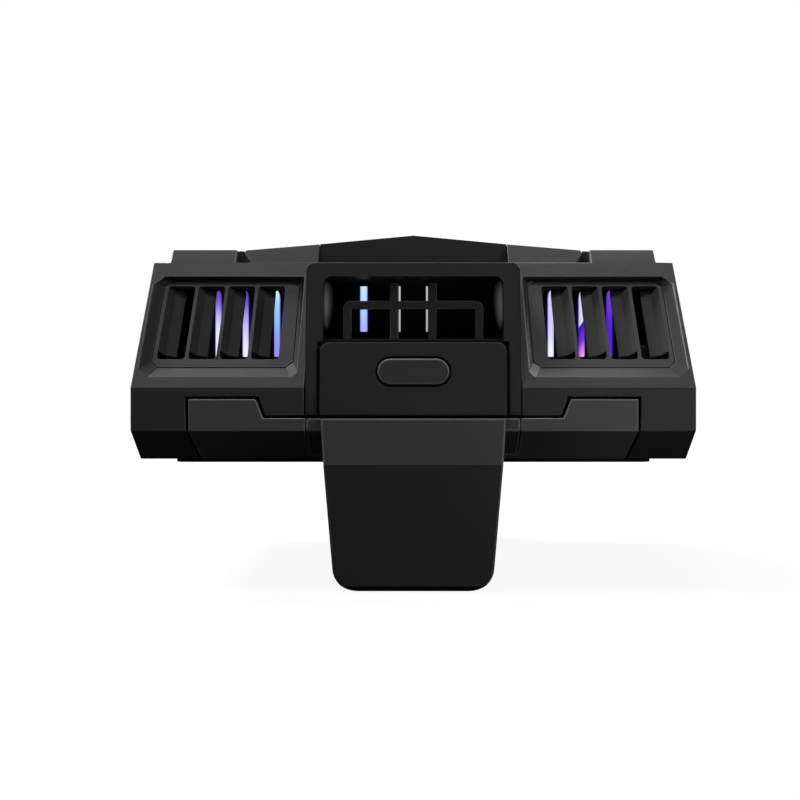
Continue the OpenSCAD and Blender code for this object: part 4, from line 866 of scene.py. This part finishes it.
for k in range(BLADES):
    angle = 2 * math.pi * k / BLADES
    spin = np.array([[math.cos(angle), -math.sin(angle), 0],
                     [math.sin(angle), math.cos(angle), 0], [0, 0, 1]])
    blade_faces += [[i + k * len(leaf_points) for i in face] for face in leaf_faces]
    blade_points.append(leaf_points @ spin.T)
blades = new_piece("fan_blades", np.concatenate(blade_points), blade_faces, INNER_AND_SHADE, "fan")
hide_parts("fan_rotor")
print("fan blades:", len(blade_points))

# %% [markdown]
# ## Screws underneath
# Four screws hold the two halves of the housing together. Their heads lie in pockets in the floor, with
# a cross recess. A head is a disc of rings: its face is a height map over the disc, sunk where the cross
# is, and its rim and shank follow as more rings.


# %% Screw heads
def cross_screw(x, y, face_z, head, head_h, shank, length, cols=72):
    """Rings from the middle of the face to the rim, down the head and along the shank, facing -Z.

    The face is sunk where the lesser of X and Y is within the cross's arm and the greater within its reach.
    """
    turn = np.linspace(0, 2 * math.pi, cols, endpoint=False)
    ring = np.linspace(0.01, 0.94, 22) * head
    px, py = np.outer(ring, np.cos(turn)), np.outer(ring, np.sin(turn))
    arm = np.minimum(np.abs(px), np.abs(py)) / (0.16 * head)
    reach = np.maximum(np.abs(px), np.abs(py)) / (0.6 * head)
    sunk = np.clip(1.6 - arm, 0, 1) * np.clip(4 * (1.05 - reach), 0, 1)
    face = face_z + 0.55 * head_h * sunk + 0.12 * head_h * (ring / head)[:, None] ** 4
    rim_r = np.array([0.985, 1.0, 1.0, shank / head, shank / head, 0.3 * shank / head]) * head
    rim_z = face_z + np.array([0.18 * head_h, 0.32 * head_h, head_h, head_h, length, length + shank * 0.6])
    r = np.concatenate([ring, rim_r])
    z = np.concatenate([face, np.repeat(rim_z[:, None], cols, axis=1)])
    points = np.stack([x + np.outer(r, np.cos(turn)), y + np.outer(r, np.sin(turn)), z], -1).reshape(-1, 3)
    return points, [face[::-1] for face in closed_faces(len(r), cols)]


HEAD, HEAD_HEIGHT, SHANK = 1.6 * MM, 1.0 * MM, 0.8 * MM  # radius of head, its height, radius of shank
low, high = map(np.array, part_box("housing_screws"))
for k, (sx, sy) in enumerate([(1, 1), (-1, 1), (-1, -1), (1, -1)]):
    points, faces = cross_screw(sx * (high[0] - HEAD), sy * (high[1] - HEAD), low[2], HEAD, HEAD_HEIGHT,
                                SHANK, high[2] - low[2] - 0.6 * MM)
    screw = new_piece(f"housing_screw_{k}", points, faces, STEEL, "housing")
    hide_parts("housing_screws")
print("screws at +/-", np.round((high[:2] - HEAD) / MM, 1), "mm")

# %% [markdown]
# ## Contacts in the power socket
# The socket's tongue carries two rows of plated contacts. They are thin blocks with soft edges, one row on
# each face of the tongue. Stripes in a finish would be lighter, but wouldn't stand proud and catch light.

# %% Socket contacts
CONTACTS, PITCH = 12, 0.5 * MM
TONGUE, HALF_WIDE, HALF_THICK = 0.36 * MM, 0.13 * MM, 0.04 * MM  # tongue's half height, a contact's halves
low, high = map(np.array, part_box("usb_socket"))
middle = (low + high) / 2
contact_points, contact_faces = [], []
for face in (-1, 1):
    for k in range(CONTACTS):
        x = (k - (CONTACTS - 1) / 2) * PITCH
        z = middle[2] + face * TONGUE
        points, faces = rounded_block((x - HALF_WIDE, high[1] - 5.0 * MM, z - HALF_THICK),
                                      (x + HALF_WIDE, high[1] - 1.3 * MM, z + HALF_THICK), 0.03 * MM, 2)
        contact_faces += [[i + sum(map(len, contact_points)) for i in f] for f in faces]
        contact_points.append(points)
new_piece("socket_contacts", np.concatenate(contact_points), contact_faces, GOLD, "housing")
print("contacts:", len(contact_points))

# %% [markdown]
# ## Floor
# The photograph has a pure white ground. The floor is white for the rays that see it as a background, and
# dim for the rest, so that no white bounce lifts the dark undersides. A plain white floor would be
# simpler, but then the arm and the belt would be far too light. A part of the floor's white is plain
# reflected light, which keeps the object's shadow.


# %% Floor
def background_mask(tree, in_mirrors):
    """1 on rays that see the background: the camera's, those through glass and a share of mirrored ones.

    The share is given. The mask is the largest of camera ray, share times glossy ray and transmission ray.
    """
    path = add(tree, "ShaderNodeLightPath").outputs
    mirrored = maths(tree, "MULTIPLY", path["Is Glossy Ray"], in_mirrors)
    seen = maths(tree, "MAXIMUM", path["Is Camera Ray"], mirrored)
    return maths(tree, "MAXIMUM", seen, path["Is Transmission Ray"])


floor_material, tree, shader = blank("pale floor")
tree.nodes.remove(shader)
place = place_on(tree)
paper_tone = remap(tree, noise(tree, place, 400.0, 3.0), 0.0, 1.0, 0.1, 0.12)
matt = add(tree, "ShaderNodeBsdfDiffuse", {"Color": paper_tone})
dim = add(tree, "ShaderNodeBsdfDiffuse", {"Color": (0.02, 0.02, 0.02, 1.0)})
off = add(tree, "ShaderNodeVectorMath", {0: place}, operation="LENGTH").outputs["Value"]
level = remap(tree, off, 0.06, 0.16, 0.93, 1.0)
clear = remap(tree, off, 0.08, 0.25)
glow = add(tree, "ShaderNodeEmission", {"Color": (1, 1, 1, 1), "Strength": level})
white = add(tree, "ShaderNodeAddShader", {0: matt.outputs[0], 1: glow.outputs[0]})
ground = add(tree, "ShaderNodeMixShader",
             {0: background_mask(tree, clear), 1: dim.outputs[0], 2: white.outputs[0]})
plug(tree, tree.nodes["Material Output"], {"Surface": ground.outputs[0]})

FLOOR_Z, FLOOR_RADIUS, RINGS, SPOKES = CAD_BOX[0][2], 3, 40, 64
reach = np.linspace(0, FLOOR_RADIUS, RINGS)
turn = np.linspace(0, 2 * math.pi, SPOKES, endpoint=False)
disc = np.stack([np.outer(reach, np.cos(turn)), np.outer(reach, np.sin(turn)),
                 np.full((RINGS, SPOKES), FLOOR_Z - 0.02 * MM)], axis=-1).reshape(-1, 3)
floor_mesh = bpy.data.meshes.new("floor")
floor_mesh.from_pydata(disc.tolist(), [], ring_faces(RINGS, SPOKES))
floor_mesh.materials.append(floor_material)
floor = bpy.data.objects.new("floor", floor_mesh)
bpy.context.scene.collection.objects.link(floor)
print("floor at", round(FLOOR_Z / MM, 2), "mm")

# %% [markdown]
# ## World
# The world is white only for the same rays, and in mirrors only for rays that run on to the far side.
# All other rays find a dim grey, so the lamps alone shape the dark plastic. A white world would be the
# usual way to a white ground, but it would wash out the faces' different tones.

# %% World
world = bpy.data.worlds.new("studio")
bpy.context.scene.world = world
world.use_nodes = True
tree = world.node_tree
way = add(tree, "ShaderNodeSeparateXYZ", {0: add(tree, "ShaderNodeTexCoord").outputs["Generated"]})
behind = remap(tree, way.outputs["Y"], 0.0, 0.5)
dim_sky = add(tree, "ShaderNodeBackground", {"Color": (0.03, 0.03, 0.031, 1), "Strength": 1.0})
white_sky = add(tree, "ShaderNodeBackground", {"Color": (1, 1, 1, 1), "Strength": 1.0})
sky = add(tree, "ShaderNodeMixShader",
          {0: background_mask(tree, behind), 1: dim_sky.outputs[0], 2: white_sky.outputs[0]})
plug(tree, tree.nodes["World Output"], {"Surface": sky.outputs[0]})
bpy.context.scene.view_settings.view_transform = "Standard"
print("world:", world.name)

# %% [markdown]
# ## Lamps
# The light comes from above, behind and a little left, with a weaker light from the front, and the right
# half is brighter than the left. So two distant lights and a soft box light the whole object, and three
# beams add to the right half alone: one from high up, one from behind the right shoulder and one low at
# the front. A picture of a studio as the world would be quicker, but couldn't be aimed at one half.


# %% Lamps
def hang(name, data, turn, place=(0, 0, 0)):
    """Puts a lamp into the scene, turned by a quaternion, at a place in metres."""
    light = bpy.data.objects.new(name, data)
    light.location = place
    light.rotation_euler = turn.to_euler()
    bpy.context.scene.collection.objects.link(light)


def facing(place, aim):
    """The turn that makes a lamp at a place look at a point: its -Z axis along aim minus place."""
    return (Vector(aim) - Vector(place)).to_track_quat("-Z", "Y")


def soft_box(name, place, watts, size, aim=(0, 0, 0.01)):
    """A square soft box at a place in metres that looks at a point on the object."""
    data = bpy.data.lights.new(name, "AREA")
    data.energy = watts
    data.size = size
    hang(name, data, facing(place, aim), place)


def sunlight(name, way, strength, spread):
    """Parallel light from a direction. The spread of its source, in degrees, softens the shadows."""
    data = bpy.data.lights.new(name, "SUN")
    data.energy = strength
    data.angle = math.radians(spread)
    hang(name, data, Vector(way).to_track_quat("Z", "Y"))


def beam(name, place, watts, aim, spread, soft=0.04):
    """A round beam that fades to its rim, for light on one half of the object only."""
    data = bpy.data.lights.new(name, "SPOT")
    data.energy = watts
    data.spot_size = math.radians(spread)
    data.spot_blend = 1.0
    data.shadow_soft_size = soft
    hang(name, data, facing(place, aim), place)


sunlight("key from behind", (-0.5, 0.4, 0.77), 3.1, 25)
sunlight("front light", (-0.12, -0.26, 0.95), 0.85, 22)
beam("right beam", (-0.1, -0.06, 0.25), 0.8, (0.034, -0.03, 0.012), 34)
soft_box("front box", (0.17, -0.13, 0.12), 0.085, 0.1)
beam("top right beam", (0.1, 0.05, 0.13), 2.6, (0.025, -0.014, 0.031), 14, 0.01)
beam("low right beam", (0.12, -0.19, 0.01), 0.135, (0.03, -0.034, 0.003), 12.5, 0.01)
